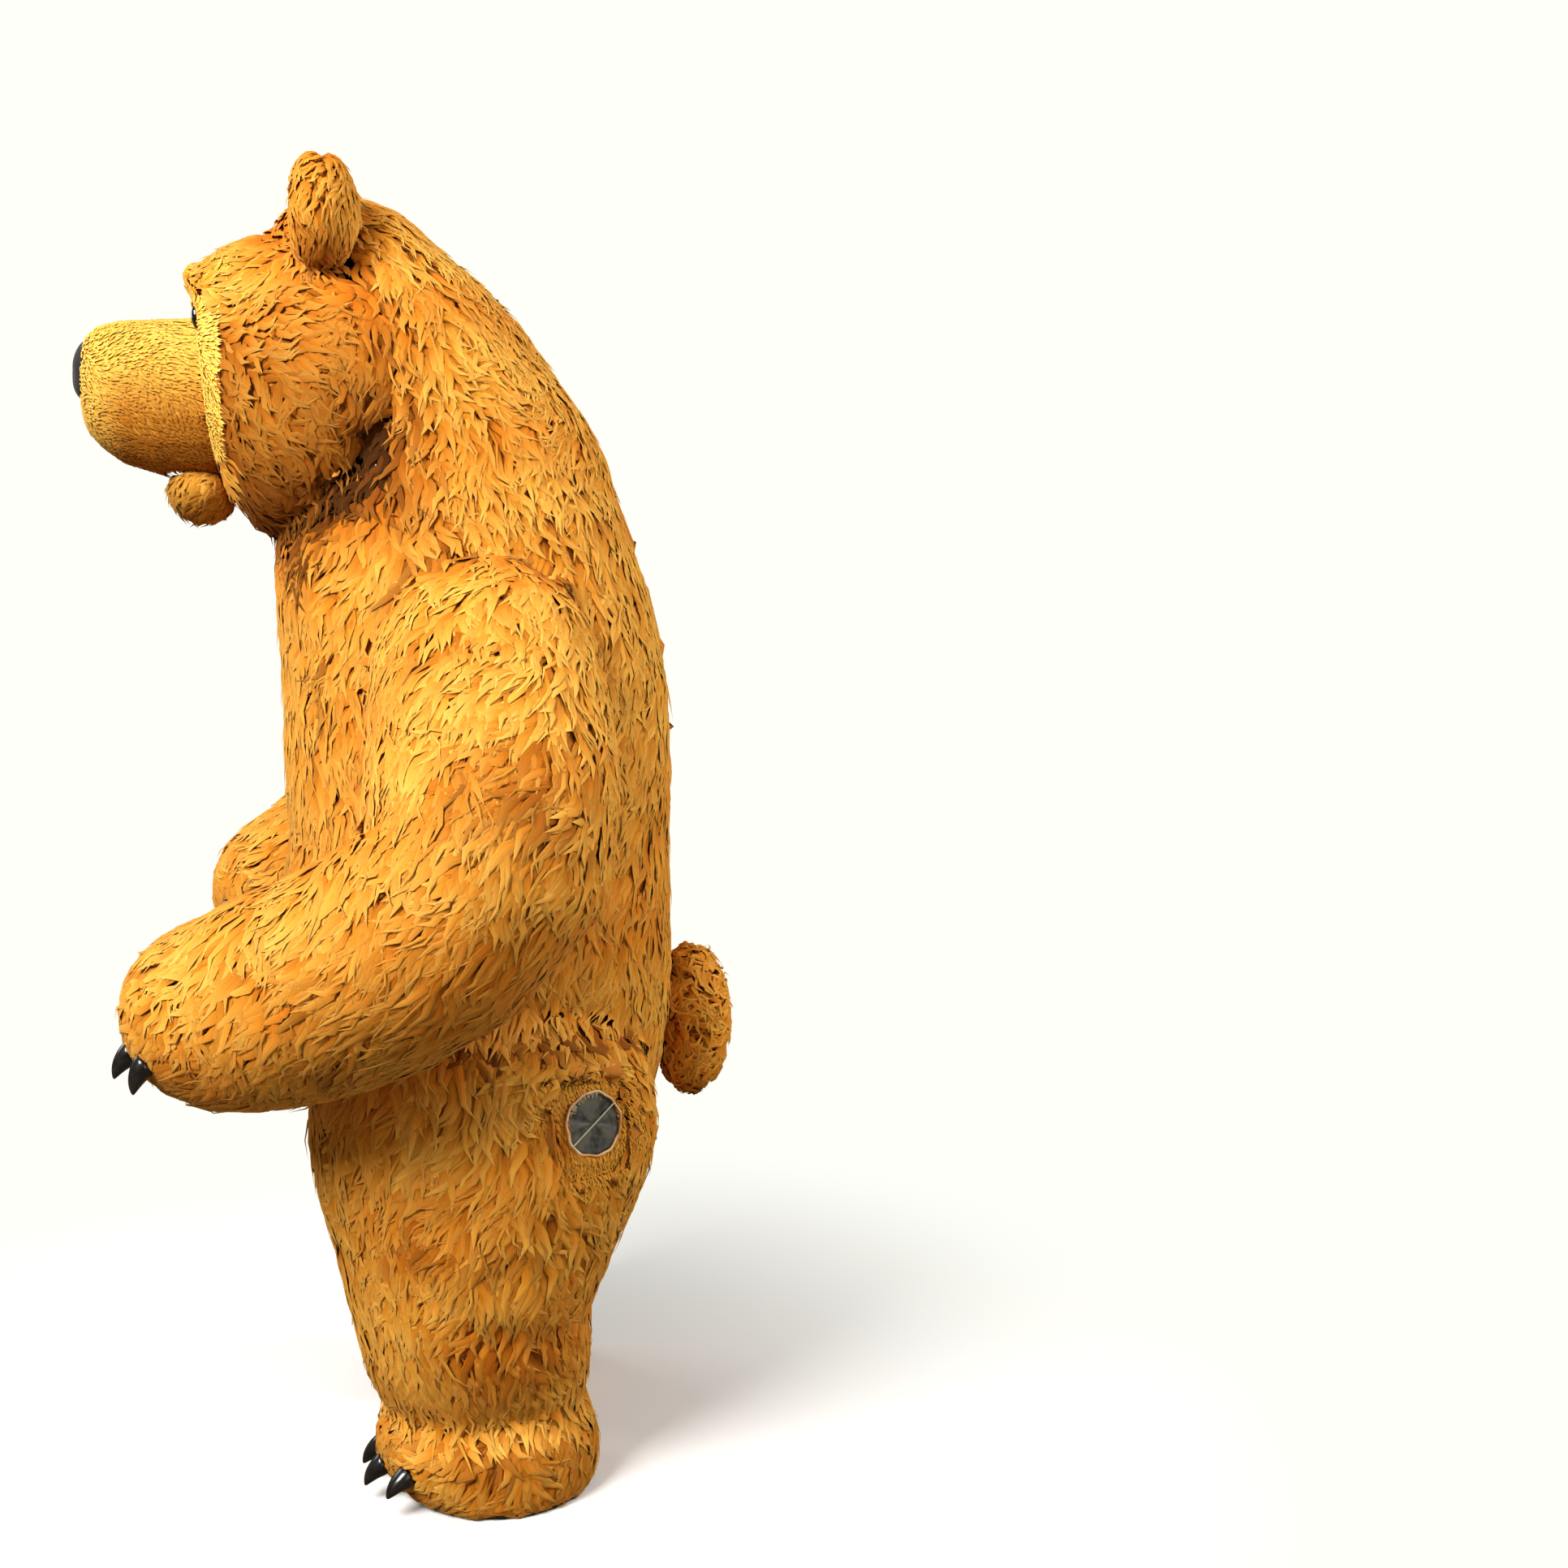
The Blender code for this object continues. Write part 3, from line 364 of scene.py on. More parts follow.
def pressCreases():
    plain = Surface(list(outside))
    for name, (points, corners) in outside.items():
        deep = creaseAt(points)[0]
        near = np.abs(deep) > 0.0004
        if near.any():
            normals = plain.nearest(points[near])[1]
            points[near] -= normals * deep[near, None]


pressCreases()
print("creases pressed")


def scatter(name, spacing, seed):
    # roots over one panel, evenly spread but not in rows
    source = np.random.default_rng(seed)
    points, corners = outside[name]
    a, b, c = (points[corners[:, k]] for k in range(3))
    area = np.linalg.norm(np.cross(b - a, c - a), axis=1) / 2
    tries = int(area.sum() / spacing ** 2 * 4.0)
    face = source.choice(len(corners), tries, p=area / area.sum())
    u = source.uniform(size=tries)
    v = source.uniform(size=tries)
    fold = u + v > 1
    u[fold], v[fold] = 1 - u[fold], 1 - v[fold]
    places = a[face] + (b - a)[face] * u[:, None] + (c - a)[face] * v[:, None]
    cells = {}
    kept = []
    reach = spacing * 0.80      # no root stands closer to another than this
    keys = np.floor(places / reach).astype(int)
    around = [(i, j, k) for i in (-1, 0, 1) for j in (-1, 0, 1) for k in (-1, 0, 1)]
    for index, (place, key) in enumerate(zip(places.tolist(), keys.tolist())):
        clear = True
        for i, j, k in around:
            for other in cells.get((key[0] + i, key[1] + j, key[2] + k), ()):
                apart = (place[0] - other[0]) ** 2 + (place[1] - other[1]) ** 2 + (place[2] - other[2]) ** 2
                if apart < reach ** 2:
                    clear = False
                    break
            if not clear:
                break
        if clear:
            cells.setdefault(tuple(key), []).append(place)
            kept.append(index)
    return places[kept], area.sum()


# How the pile is combed

armLine = [(0.26, 0.135, 1.71), (0.50, 0.141, 1.48), (0.61, 0.100, 1.28), (0.605, -0.07, 1.16),
           (0.42, -0.49, 1.05)]
armReach = 0.18      # how far along the arm one stretch of this line is felt


def armHeading(places, side):
    # the way down the arm beside each place
    line = np.array(armLine) * (side, 1, 1)
    middles = (line[1:] + line[:-1]) / 2
    headings = unit(line[1:] - line[:-1])
    away = np.linalg.norm(places[:, None] - middles[None], axis=2)
    share = np.exp(-(away / armReach) ** 2) + 1e-9
    return unit((share[:, :, None] * headings[None]).sum(1))


def combAt(name, places):
    side = -1 if name.endswith("right") else 1
    down = np.array((0.0, 0.0, -1.0))
    back = np.array((0.0, 1.0, 0.0))
    out = np.stack((np.sign(places[:, 0]), 0 * places[:, 0], 0 * places[:, 0]), 1)
    low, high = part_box(name)
    middle = np.array((low + high) / 2)
    if name.startswith("sleeve_outer"):
        return down - back * 0.55 + out * 0.25 + armHeading(places, side) * 0.25
    if name.startswith("sleeve_inner"):
        return down * 0.9 + armHeading(places, side) * 0.5
    if name.startswith("paw"):
        return down + armHeading(places, side) * 0.60
    if name.startswith("foot"):
        return down * 0.9 - back * 0.35 + unit(places - middle) * 0.5
    if name.startswith("leg"):
        return down + out * 0.08
    if name == "head_back":
        rise = np.clip((places[:, 2:3] - 2.15) / 0.3, 0, 1)
        return down * (1.1 - 0.6 * rise) + back * (0.25 + 0.75 * rise) + out * 0.15
    if name == "brow":
        return -back * 0.9 + out * 0.25 + np.array((0.0, 0.0, 0.25))
    if name.startswith("cheek"):
        drop = np.clip((2.40 - places[:, 2:3]) / 0.25, 0, 1)
        return down * (0.25 + 0.8 * drop) + back * (0.9 - 0.75 * drop) + out * 0.1
    if name.startswith("ear"):
        return down + out * 0.15 + back * np.clip((places[:, 1:2] - middle[1]) / 0.05, -0.5, 0.5)
    if name == "snout":
        return back + down * 0.25
    if name == "face_mask":
        upper = np.clip((places[:, 2:3] - 2.31) / 0.03, 0, 1)
        around = unit(places - middle) * np.array((1.0, 0.0, 1.0))
        return around + down * (0.3 - 1.3 * upper) + back * 0.8 * upper
    if name == "chin":
        return down * 0.8 - back * 0.2
    if name == "tail":
        return unit(places - middle) + down * 0.6
    return down + out * 0.06


# Kinds of pile: sizes in metres, except the swirl in degrees and the number of rings of a tuft

piles = {
    "body": {"spacing": 0.0148, "length": 0.130, "width": 0.0228, "thick": 0.0042, "wave": 0.0125,
             "swirl": 38, "sink": 0.0115, "lift": 0.0018, "rings": 4},
    "limb": {"spacing": 0.0148, "length": 0.125, "width": 0.0222, "thick": 0.0042, "wave": 0.0130,
             "swirl": 44, "sink": 0.0115, "lift": 0.0018, "rings": 4},
    "head": {"spacing": 0.0135, "length": 0.090, "width": 0.0186, "thick": 0.0042, "wave": 0.0100,
             "swirl": 55, "sink": 0.0115, "lift": 0.0022, "rings": 4},
    "rim": {"spacing": 0.0100, "length": 0.060, "width": 0.0140, "thick": 0.0030, "wave": 0.0060,
            "swirl": 30, "sink": 0.0115, "lift": -0.0030, "rings": 4},
    "ear": {"spacing": 0.0105, "length": 0.052, "width": 0.0120, "thick": 0.0040, "wave": 0.0045,
            "swirl": 36, "sink": 0.0110, "lift": 0.0012, "rings": 4},
    "tail": {"spacing": 0.0120, "length": 0.055, "width": 0.0130, "thick": 0.0060, "wave": 0.0120,
             "swirl": 120, "sink": 0.0120, "lift": 0.0030, "rings": 4},
    "chin": {"spacing": 0.0095, "length": 0.036, "width": 0.0105, "thick": 0.0036, "wave": 0.0035,
             "swirl": 60, "sink": 0.0012, "lift": 0.0045, "rings": 3},
    "short": {"spacing": 0.0058, "length": 0.017, "width": 0.0058, "thick": 0.0014, "wave": 0.0012,
              "swirl": 40, "sink": 0.0038, "lift": 0.0002, "rings": 2},
}


def pileOf(name):
    if name in ("tail", "chin"):
        return name
    if name in shortPanels:
        return "short"
    if name.startswith("ear"):
        return "ear"
    if name.startswith(("head", "brow", "cheek")):
        return "head"
    if name.startswith(("torso", "crotch")):
        return "body"
    return "limb"


def turned(vectors, axes, angles):
    # each vector turned about its own axis, both at right angles
    side = np.cross(axes, vectors)
    return vectors * np.cos(angles)[:, None] + side * np.sin(angles)[:, None]


def edgeDistance(name, places):
    # how far each place is from the nearest edge of its panel
    points, corners = outside[name]
    keys = [tuple(p) for p in np.round(points, 4)]
    seen = {}
    for face in corners:
        for k in range(3):
            a, b = face[k], face[(k + 1) % 3]
            pair = tuple(sorted((keys[a], keys[b])))
            seen[pair] = seen.get(pair, 0) + 1
    rims = []
    for (a, b), uses in seen.items():
        if uses == 1:
            a, b = np.array(a), np.array(b)
            steps = max(1, int(np.linalg.norm(b - a) / 0.01))
            rims += [a + (b - a) * k / steps for k in range(steps)]
    if not rims:
        return np.full(len(places), 1.0)
    tree = KDTree(len(rims))
    for k, rim in enumerate(rims):
        tree.insert(Vector(rim), k)
    tree.balance()
    return np.array([tree.find(Vector(place))[2] for place in places])


ventLow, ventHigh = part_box("vent_net")
ventMiddle = np.array((ventLow + ventHigh) / 2)
ventClear = 0.088          # how far from its middle the long pile round the air inlet ends
eyeShift = (0.034, 0.014)  # outwards and back from the plain eye of the solids
eyeClear = {"roots": 0.024, "tips": 0.028, "near": 0.16, "shortest": 0.010}
ventNear = {"near": 0.24, "shortest": 0.012}
zipBank = {"half": 0.040, "behind": 0.25, "above": 1.2, "lift": -0.0025}


def findEye(side, surface):
    low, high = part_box("eye_left" if side > 0 else "eye_right")
    middle = np.array((low + high) / 2) + (side * eyeShift[0], eyeShift[1], 0.0)
    spots, normals = surface.nearest(middle[None])
    return spots[0], normals[0]


# places on both sides that lie in a soft shade: the elbow, the underside of the forearm, behind the ear
# and the hip, each with its reach and its depth
duskSpots = [((0.71, 0.22, 1.47), 0.13, 0.26), ((0.76, -0.02, 1.14), 0.13, 0.24),
             ((0.24, 0.02, 2.25), 0.12, 0.30), ((0.41, 0.10, 0.955), 0.055, 0.45)]


def formShade(name, places, normals):
    # how far the pile lies in shade under the broad forms: the jowl, the snout, the chin and the ears
    height = places[:, 2]
    if name.startswith("cheek"):
        return np.clip((2.40 - height) / 0.20, 0, 1) * 0.40 + np.clip((2.16 - height) / 0.22, 0, 1) * 0.30
    if name == "snout":
        return np.clip((2.215 - height) / 0.14, 0, 1) * 0.42 * np.clip((places[:, 1] + 0.64) / 0.10, 0.3, 1)
    if name == "chin":
        return np.full(len(height), 0.38)
    if name.startswith("ear"):
        outward = np.clip(normals[:, 0] * np.sign(places[:, 0]) * 1.5, 0, 1)
        return np.clip((2.53 - height) / 0.12, 0, 1) * 0.55 * outward
    if name == "head_back":
        return np.clip((2.20 - height) / 0.15, 0, 1) * np.clip((0.06 - places[:, 1]) / 0.10, 0, 1) * 0.5
    # the mask's pile gets painted light: its negative shade makes it brighter
    if name == "face_mask":
        return np.full(len(height), -0.25)
    shade = np.zeros(len(height))
    for place, reach, deep in duskSpots:
        away = np.linalg.norm(np.abs(places) * (1, 0, 0) + places * (0, 1, 1) - place, axis=1)
        shade += deep * np.exp(-(away / reach) ** 2)
    return shade


def growLocks(name, surface, seed, kind, keep):
    # centre lines of all the locks of one panel: a point, a side and an upward direction for each ring
    pile = piles[kind]
    source = np.random.default_rng(seed)
    roots, area = scatter(name, pile["spacing"], seed)
    clear = np.ones(len(roots), bool)
    for place in eyePlaces:
        clear &= np.linalg.norm((roots - place) * (1.0, 1.0, 0.8), axis=1) > eyeClear["roots"]
    clear &= keep(roots)
    spots, normals = surface.nearest(roots[clear])
    count = len(spots)
    # beside the zip the banks of pile lie close, and point straight back
    besideZip = np.abs(spots[:, 0]) < zipBank["half"]
    besideZip &= (spots[:, 1] > zipBank["behind"]) & (spots[:, 2] > zipBank["above"])
    flatten = np.where(besideZip[:, None], (0.0, 1.0, 1.0), (1.0, 1.0, 1.0))
    normals = unit(normals * flatten)
    swirl = math.radians(pile["swirl"]) * np.where(besideZip, 0.3, 1.0)
    angle = swirl * (0.60 * ripple(spots, 0.30, 11) + 0.50 * ripple(spots, 0.09, 12))
    angle += swirl * 0.22 * source.normal(size=count)
    length = pile["length"] * (1 + 0.22 * ripple(spots, 0.12, 13) + 0.16 * source.normal(size=count))
    length = np.clip(length, pile["length"] * 0.5, pile["length"] * 1.5)
    # near the air inlet and the eyes no tuft reaches over them
    toVent = ventMiddle - spots
    away = np.linalg.norm(toVent, axis=1)
    first = combAt(name, spots)
    first = unit(first - normals * (first * normals).sum(1)[:, None])
    towards = (first * toVent).sum(1) / np.maximum(away, 1e-6)
    room = np.where((away < ventNear["near"]) & (towards > 0.2),
                    np.maximum(away - ventClear, ventNear["shortest"]), 1.0)
    length = np.minimum(length, room)
    for place in eyePlaces:
        away = np.linalg.norm(place - spots, axis=1)
        towards = (first * (place - spots)).sum(1) / np.maximum(away, 1e-6)
        room = np.where((away < eyeClear["near"]) & (towards > 0.0),
                        np.maximum(away - eyeClear["tips"], eyeClear["shortest"]), 1.0)
        length = np.minimum(length, room)
    phase = 2.5 * ripple(spots, 0.10, 14) + 0.9 * source.normal(size=count)
    parting = np.exp(-(edgeDistance(name, spots) / pile["length"] / 0.22) ** 2) * (pile["rings"] > 3)
    length = length * (1 - 0.30 * parting)
    wisp = (source.uniform(size=count) < 0.17) & (parting < 0.5) & ~besideZip
    lift = pile["lift"] * (1.0 + 1.1 * source.normal(size=count))
    lift = lift + wisp * pile["sink"] * source.uniform(0.1, 0.65, count)
    lift = np.where(besideZip, zipBank["lift"], lift)
    rings = pile["rings"]
    centre = [spots - normals * pile["sink"]]
    ups = [normals]
    place = spots
    for k in range(rings):
        comb = combAt(name, place)
        comb = comb - normals * (comb * normals).sum(1)[:, None]
        heading = turned(unit(comb), normals, angle)
        share = (k + 1) / rings
        sway = pile["wave"] * np.sin(2 * math.pi * 0.95 * share + phase) - pile["wave"] * np.sin(phase)
        sideways = np.cross(normals, heading)
        place, normals = surface.nearest(place + heading * (length / rings)[:, None])
        normals = unit(normals * flatten)
        rise = -pile["sink"] * (1 - share) ** 2.2 * 0.75 + lift * share ** 2
        rise = rise - 0.0045 * parting * (1 - 0.5 * share)      # pile lies lower along the seams
        if k == rings - 1:
            rise = rise - 0.0015      # the tip bends in
        centre.append(place + normals * rise[:, None] + sideways * sway[:, None])
        ups.append(normals)
    shade = creaseAt(spots)[1] + formShade(name, spots, ups[0])
    return {"centre": np.stack(centre, 1), "up": np.stack(ups, 1), "pile": pile, "area": area,
            "tone": source.uniform(size=count),
            "width": source.uniform(0.70, 1.25, size=count) * np.where(wisp, 0.42, 1.0),
            "root": spots, "parting": parting, "shade": np.clip(shade, -0.3, 1.1)}


softness = 0.78            # how far the shading of a tuft follows the cloth under it
leastHeight = 0.0015       # of any tuft above the floor


def locksMesh(name, locks):
    # one closed tapered tuft for each lock: three points round each ring, and one at the tip
    pile = locks["pile"]
    centre = locks["centre"]
    count, stations, _ = centre.shape
    rings = stations - 1
    along = np.zeros_like(centre)
    along[:, 1:-1] = centre[:, 2:] - centre[:, :-2]
    along[:, 0] = centre[:, 1] - centre[:, 0]
    along[:, -1] = centre[:, -1] - centre[:, -2]
    along = unit(along)
    side = unit(np.cross(locks["up"], along))
    up = np.cross(along, side)
    shares = np.arange(stations) / rings
    taper = np.interp(shares, (0, 0.25, 0.5, 0.75, 1), (0.70, 1.0, 0.88, 0.52, 0.0))
    half = pile["width"] / 2 * locks["width"][:, None] * taper[None]
    tall = pile["thick"] * (0.6 + 0.4 * locks["width"][:, None]) * taper[None]
    points = np.empty((count, rings * 3 + 1, 3))
    for k in range(rings):
        across = side[:, k] * half[:, k:k + 1]
        rise = up[:, k] * tall[:, k:k + 1]
        points[:, k * 3] = centre[:, k] - across - rise * 0.35
        points[:, k * 3 + 1] = centre[:, k] + across - rise * 0.35
        points[:, k * 3 + 2] = centre[:, k] + rise * 0.65
    points[:, -1] = centre[:, -1]
    points[:, :, 2] = np.maximum(points[:, :, 2], leastHeight)

    # each wall of a tuft: its two edges, and where it begins and ends across the strand map
    walls = ((0, 1, 0.75, 1.0), (1, 2, 0.5, 0.25), (2, 0, 0.25, 0.0))
    shape = [(0, 2, 1)]
    spread = [((0.35, 0.0), (0.5, 0.0), (0.65, 0.0))]
    for k in range(rings - 1):
        low, high = k * 3, k * 3 + 3
        for a, b, left, right in walls:
            v0, v1 = shares[k], shares[k + 1]
            shape.append((low + a, low + b, high + b))
            spread.append(((left, v0), (right, v0), (right, v1)))
            shape.append((low + a, high + b, high + a))
            spread.append(((left, v0), (right, v1), (left, v1)))
    last = (rings - 1) * 3
    for a, b, left, right in walls:
        v0 = shares[rings - 1]
        shape.append((last + a, last + b, rings * 3))
        spread.append(((left, v0), (right, v0), ((left + right) / 2, 1.0)))
    shape = np.array(shape)
    spread = np.array(spread)
    perLock = rings * 3 + 1
    faces = (shape[None] + (np.arange(count) * perLock)[:, None, None]).reshape(-1, 3)
    mesh = bpy.data.meshes.new(name)
    mesh.vertices.add(count * perLock)
    mesh.vertices.foreach_set("co", points.ravel())
    mesh.loops.add(len(faces) * 3)
    mesh.loops.foreach_set("vertex_index", faces.ravel())
    mesh.polygons.add(len(faces))
    mesh.polygons.foreach_set("loop_start", np.arange(len(faces)) * 3)
    mesh.polygons.foreach_set("loop_total", np.full(len(faces), 3))
    mesh.update(calc_edges=True)
    mesh.polygons.foreach_set("use_smooth", np.ones(len(faces), bool))

    # the strand map follows each tuft, and the bake map gives each tuft its own cell
    strand = mesh.uv_layers.new(name="strand")
    strand.uv.foreach_set("vector", np.tile(spread.reshape(-1, 2), (count, 1)).ravel())
    cells = math.ceil(math.sqrt(count))
    corner = np.stack((np.arange(count) % cells, np.arange(count) // cells), 1)
    inner = 0.08 + 0.84 * spread.reshape(-1, 2)
    baked = (corner[:, None] + inner[None]) / cells
    bake = mesh.uv_layers.new(name="OFBake")
    bake.uv.foreach_set("vector", baked.ravel())
    mesh.uv_layers.active = strand
    strand.active_render = True

    pointShare = np.append(np.repeat(shares[:rings], 3), 1.0)
    values = np.empty((count, perLock, 4), np.float32)
    values[:, :, 0] = pointShare[None]
    values[:, :, 1] = locks["tone"][:, None]
    values[:, :, 2] = locks["patch"][:, None]
    values[:, :, 3] = 1.0 - 0.8 * locks["shade"][:, None]
    coatColour = mesh.color_attributes.new(name="coat", type="FLOAT_COLOR", domain="POINT")
    coatColour.data.foreach_set("color", values.ravel())
    mesh.validate()
    mesh.update()
    own = np.empty(count * perLock * 3)
    mesh.vertex_normals.foreach_get("vector", own)
    lean = np.repeat(locks["up"][:, :rings], 3, axis=1)
    lean = np.concatenate((lean, locks["up"][:, -1:]), axis=1).reshape(-1, 3)
    soft = unit(own.reshape(-1, 3) * (1 - softness) + lean * softness)
    mesh.normals_split_custom_set_from_vertices(soft.tolist())
    return mesh


seamAllowance = 0.014      # the edge of a panel that its seam turns in


def makeSkin(name, surface, sink, thickness):
    # the backing cloth of one panel: its outside, moved in to the roots of the pile, with its seams turned in
    points, corners = outside[name]
    bm = bmesh.new()
    made = {}
    for face in corners:
        ring = []
        for index in face:
            key = tuple(np.round(points[index], 5))
            if key not in made:
                made[key] = bm.verts.new(points[index])
            ring.append(made[key])
        if len(set(ring)) == 3:
            try:
                bm.faces.new(ring)
            except ValueError:
                pass
    bmesh.ops.remove_doubles(bm, verts=bm.verts, dist=0.0004)
    bmesh.ops.dissolve_degenerate(bm, edges=bm.edges, dist=0.0003)
    places = np.array([vertex.co[:] for vertex in bm.verts])
    normals = surface.nearest(places)[1]
    for vertex, normal in zip(bm.verts, normals):
        vertex.co -= Vector(normal) * sink
    rim = [edge for edge in bm.edges if edge.is_boundary]
    inward = {vertex.index: Vector(normal) for vertex, normal in zip(bm.verts, normals)}
    bm.verts.index_update()
    inward = {vertex: inward[vertex.index] for vertex in bm.verts}
    folded = bmesh.ops.extrude_edge_only(bm, edges=rim)["geom"]
    for vertex in [piece for piece in folded if isinstance(piece, bmesh.types.BMVert)]:
        below = min((edge.other_vert(vertex) for edge in vertex.link_edges),
                    key=lambda v: (v.co - vertex.co).length)
        vertex.co -= inward[below] * seamAllowance
    bmesh.ops.recalc_face_normals(bm, faces=bm.faces)
    area = sum(face.calc_area() for face in bm.faces)
    # recalculated normals may turn an open panel inside out: it is set against the suit's own normals
    bm.normal_update()
    middles = np.array([face.calc_center_median()[:] for face in bm.faces])
    agree = sum(face.normal.dot(Vector(normal)) * face.calc_area() for face, normal in
                zip(bm.faces, surface.nearest(middles)[1]))
    if agree < 0:
        bmesh.ops.reverse_faces(bm, faces=bm.faces)
    mesh = bpy.data.meshes.new(name + "_cloth")
    bm.to_mesh(mesh)
    bm.free()
    piece = addPiece(name + "_cloth", mesh)
    selectOnly(piece)
    bpy.ops.object.shade_smooth()
    solidify = piece.modifiers.new("wall", "SOLIDIFY")
    solidify.thickness = thickness
    solidify.offset = -1
    bpy.ops.object.modifier_apply(modifier="wall")
    return piece, area


# Materials

def plushMaterial(name, root, middle, tip, warm, roughness, strands):
    # acrylic plush: matt combed fibres, with a painted highlight at their tips and painted shade towards the
    # cloth
    material, shader = newMaterial(name)
    coat = addNode(material, "ShaderNodeAttribute", attribute_name="coat")
    parts = addNode(material, "ShaderNodeSeparateColor", {"Color": coat.outputs["Color"]})
    uv = addNode(material, "ShaderNodeUVMap", uv_map="strand")
    stretch = addNode(material, "ShaderNodeMapping", {"Vector": uv.outputs["UV"], "Scale": (strands, 1.6, 1.0)})
    fibre = addNode(material, "ShaderNodeTexNoise",
                    {"Vector": stretch.outputs["Vector"], "Scale": 1.0, "Detail": 3.0})
    shift = addNode(material, "ShaderNodeMapRange",
                    {"Value": fibre.outputs["Fac"], "From Min": 0.25, "From Max": 0.75,
                     "To Min": -0.16, "To Max": 0.16})
    along = addNode(material, "ShaderNodeMath", {0: parts.outputs["Red"], 1: shift.outputs["Result"]},
                    operation="ADD")
    colour = addRamp(material, along.outputs["Value"],
                     [(0.0, linear(root)), (0.42, linear(middle)), (0.95, linear(tip))])
    # the deeper orange of drifts and seams, which also tints the pile's painted shade
    patch = addNode(material, "ShaderNodeMapRange", {"Value": parts.outputs["Blue"], "To Max": 0.75})
    tinted = addNode(material, "ShaderNodeMix",
                     {"Factor": patch.outputs["Result"], "A": colour, "B": linear(warm)},
                     data_type="RGBA", blend_type="MIX")
    lock = addNode(material, "ShaderNodeMapRange",
                   {"Value": parts.outputs["Green"], "To Min": 0.86, "To Max": 1.10})
    light = addNode(material, "ShaderNodeMath", {0: lock.outputs["Result"], 1: coat.outputs["Alpha"]},
                    operation="MULTIPLY")
    shade = addNode(material, "ShaderNodeVectorMath",
                    {0: tinted.outputs["Result"], "Scale": light.outputs["Value"]}, operation="SCALE")
    finishMaterial(material, shader, shade.outputs["Vector"], fibre.outputs["Fac"], 0.55, 0.002, roughness)
    shader.inputs["Sheen Weight"].default_value = 0.10
    shader.inputs["Sheen Roughness"].default_value = 0.50
    shader.inputs["Sheen Tint"].default_value = linear("#FFE2A0")
    shader.inputs["Specular IOR Level"].default_value = 0.10
    shader.inputs["Subsurface Weight"].default_value = 0.18      # light passes between loose fibres
    shader.inputs["Subsurface Radius"].default_value = (1.0, 0.45, 0.15)
    shader.inputs["Subsurface Scale"].default_value = 0.012
    return material


def clothMaterial(name, hexColour, hexDark, scale):
    # knitted backing: dull, with fine loops, coloured as the pile in painted shade
    material, shader = newMaterial(name)
    loops = addNoise(material, scale, 4.0)
    colour = addRamp(material, loops, [(0.3, linear(hexDark)), (0.7, linear(hexColour))])
    finishMaterial(material, shader, colour, loops, 0.5, 0.002, 0.9)
    return material


plush = {
    "long": plushMaterial("longPilePlush", "#A8601A", "#D28628", "#F8BA5A", "#CC6E12", 0.72, 15.0),
    "short": plushMaterial("shortPilePlush", "#E4A43C", "#F2B64C", "#FFD06E", "#C86C0E", 0.74, 4.0),
    "curly": plushMaterial("curlyPlush", "#B66414", "#E69634", "#FCBA58", "#DC8018", 0.66, 8.0),
}
backing = {
    "long": clothMaterial("plushBacking", "#DC9036", "#BC7422", 900.0),
    "short": clothMaterial("shortPlushBacking", "#EDB24E", "#D8942C", 900.0),
    "curly": clothMaterial("curlyPlushBacking", "#B05A12", "#84400A", 900.0),
}


# Stuffed panels, each with how much of its cut rectangle it fills; declareCloth passes over them and does
# nothing for the other panels

stuffed = {"ear_left": 0.7, "ear_right": 0.7, "chin": 0.9, "tail": 0.8}


def declareCloth(name):
    if name in stuffed:
        return


def orangeDriftAndShadeOf(name, locks):
    # where the coat is painted a deeper orange: in drifts all over, round the air inlet and along the seams,
    # and as painted shade low on the snout, on the chin and wherever the pile lies in painted shade
    places = locks["root"]
    drift = np.clip(0.35 + 0.55 * ripple(places, 0.35, 21), 0, 1) * 0.6
    if name == "snout":
        # painted shade: the underside of the snout is painted a deeper orange
        low = np.clip((2.235 - places[:, 2]) / 0.12, 0, 1) * np.clip((places[:, 1] + 0.60) / 0.06, 0, 1)
        return np.clip(drift * 0.2 + low * 0.95, 0, 1)
    # painted shade: the chin is painted a deeper orange
    if name == "chin":
        return np.clip(drift + 0.4, 0, 1)
    if name == "face_mask":
        return drift * 0.1
    if name == "vent_patch" or name.endswith("_shorn"):
        return np.clip(drift + 0.65, 0, 1)
    # the pile's painted shade is also tinted a deeper orange here
    return np.clip(drift + 0.35 * locks["parting"] + 0.9 * locks["shade"], 0, 1)


shortStrip = (2.045, 2.330)   # between these heights the mask shows, elsewhere longer pile covers its rim
shornOverlap = 0.045          # how far the shorn pile runs in under the long pile
cloth = {"thick": 0.0025, "below": 0.0008}    # its thickness, and how far it lies below the roots
firstSeed = 100


def growPile(name, label, surface, seed, pileKind, coat, keep):
    # the pile of one panel, or of a part of it, as one piece
    locks = growLocks(name, surface, seed, pileKind, keep)
    locks["patch"] = orangeDriftAndShadeOf(label, locks)
    locks["tone"] = np.clip(locks["tone"] - 0.35 * locks["parting"], 0, 1)
    fur = addPiece(label + "_pile", locksMesh(label + "_pile", locks))
    wear(fur, plush[coat])
    return fur, locks


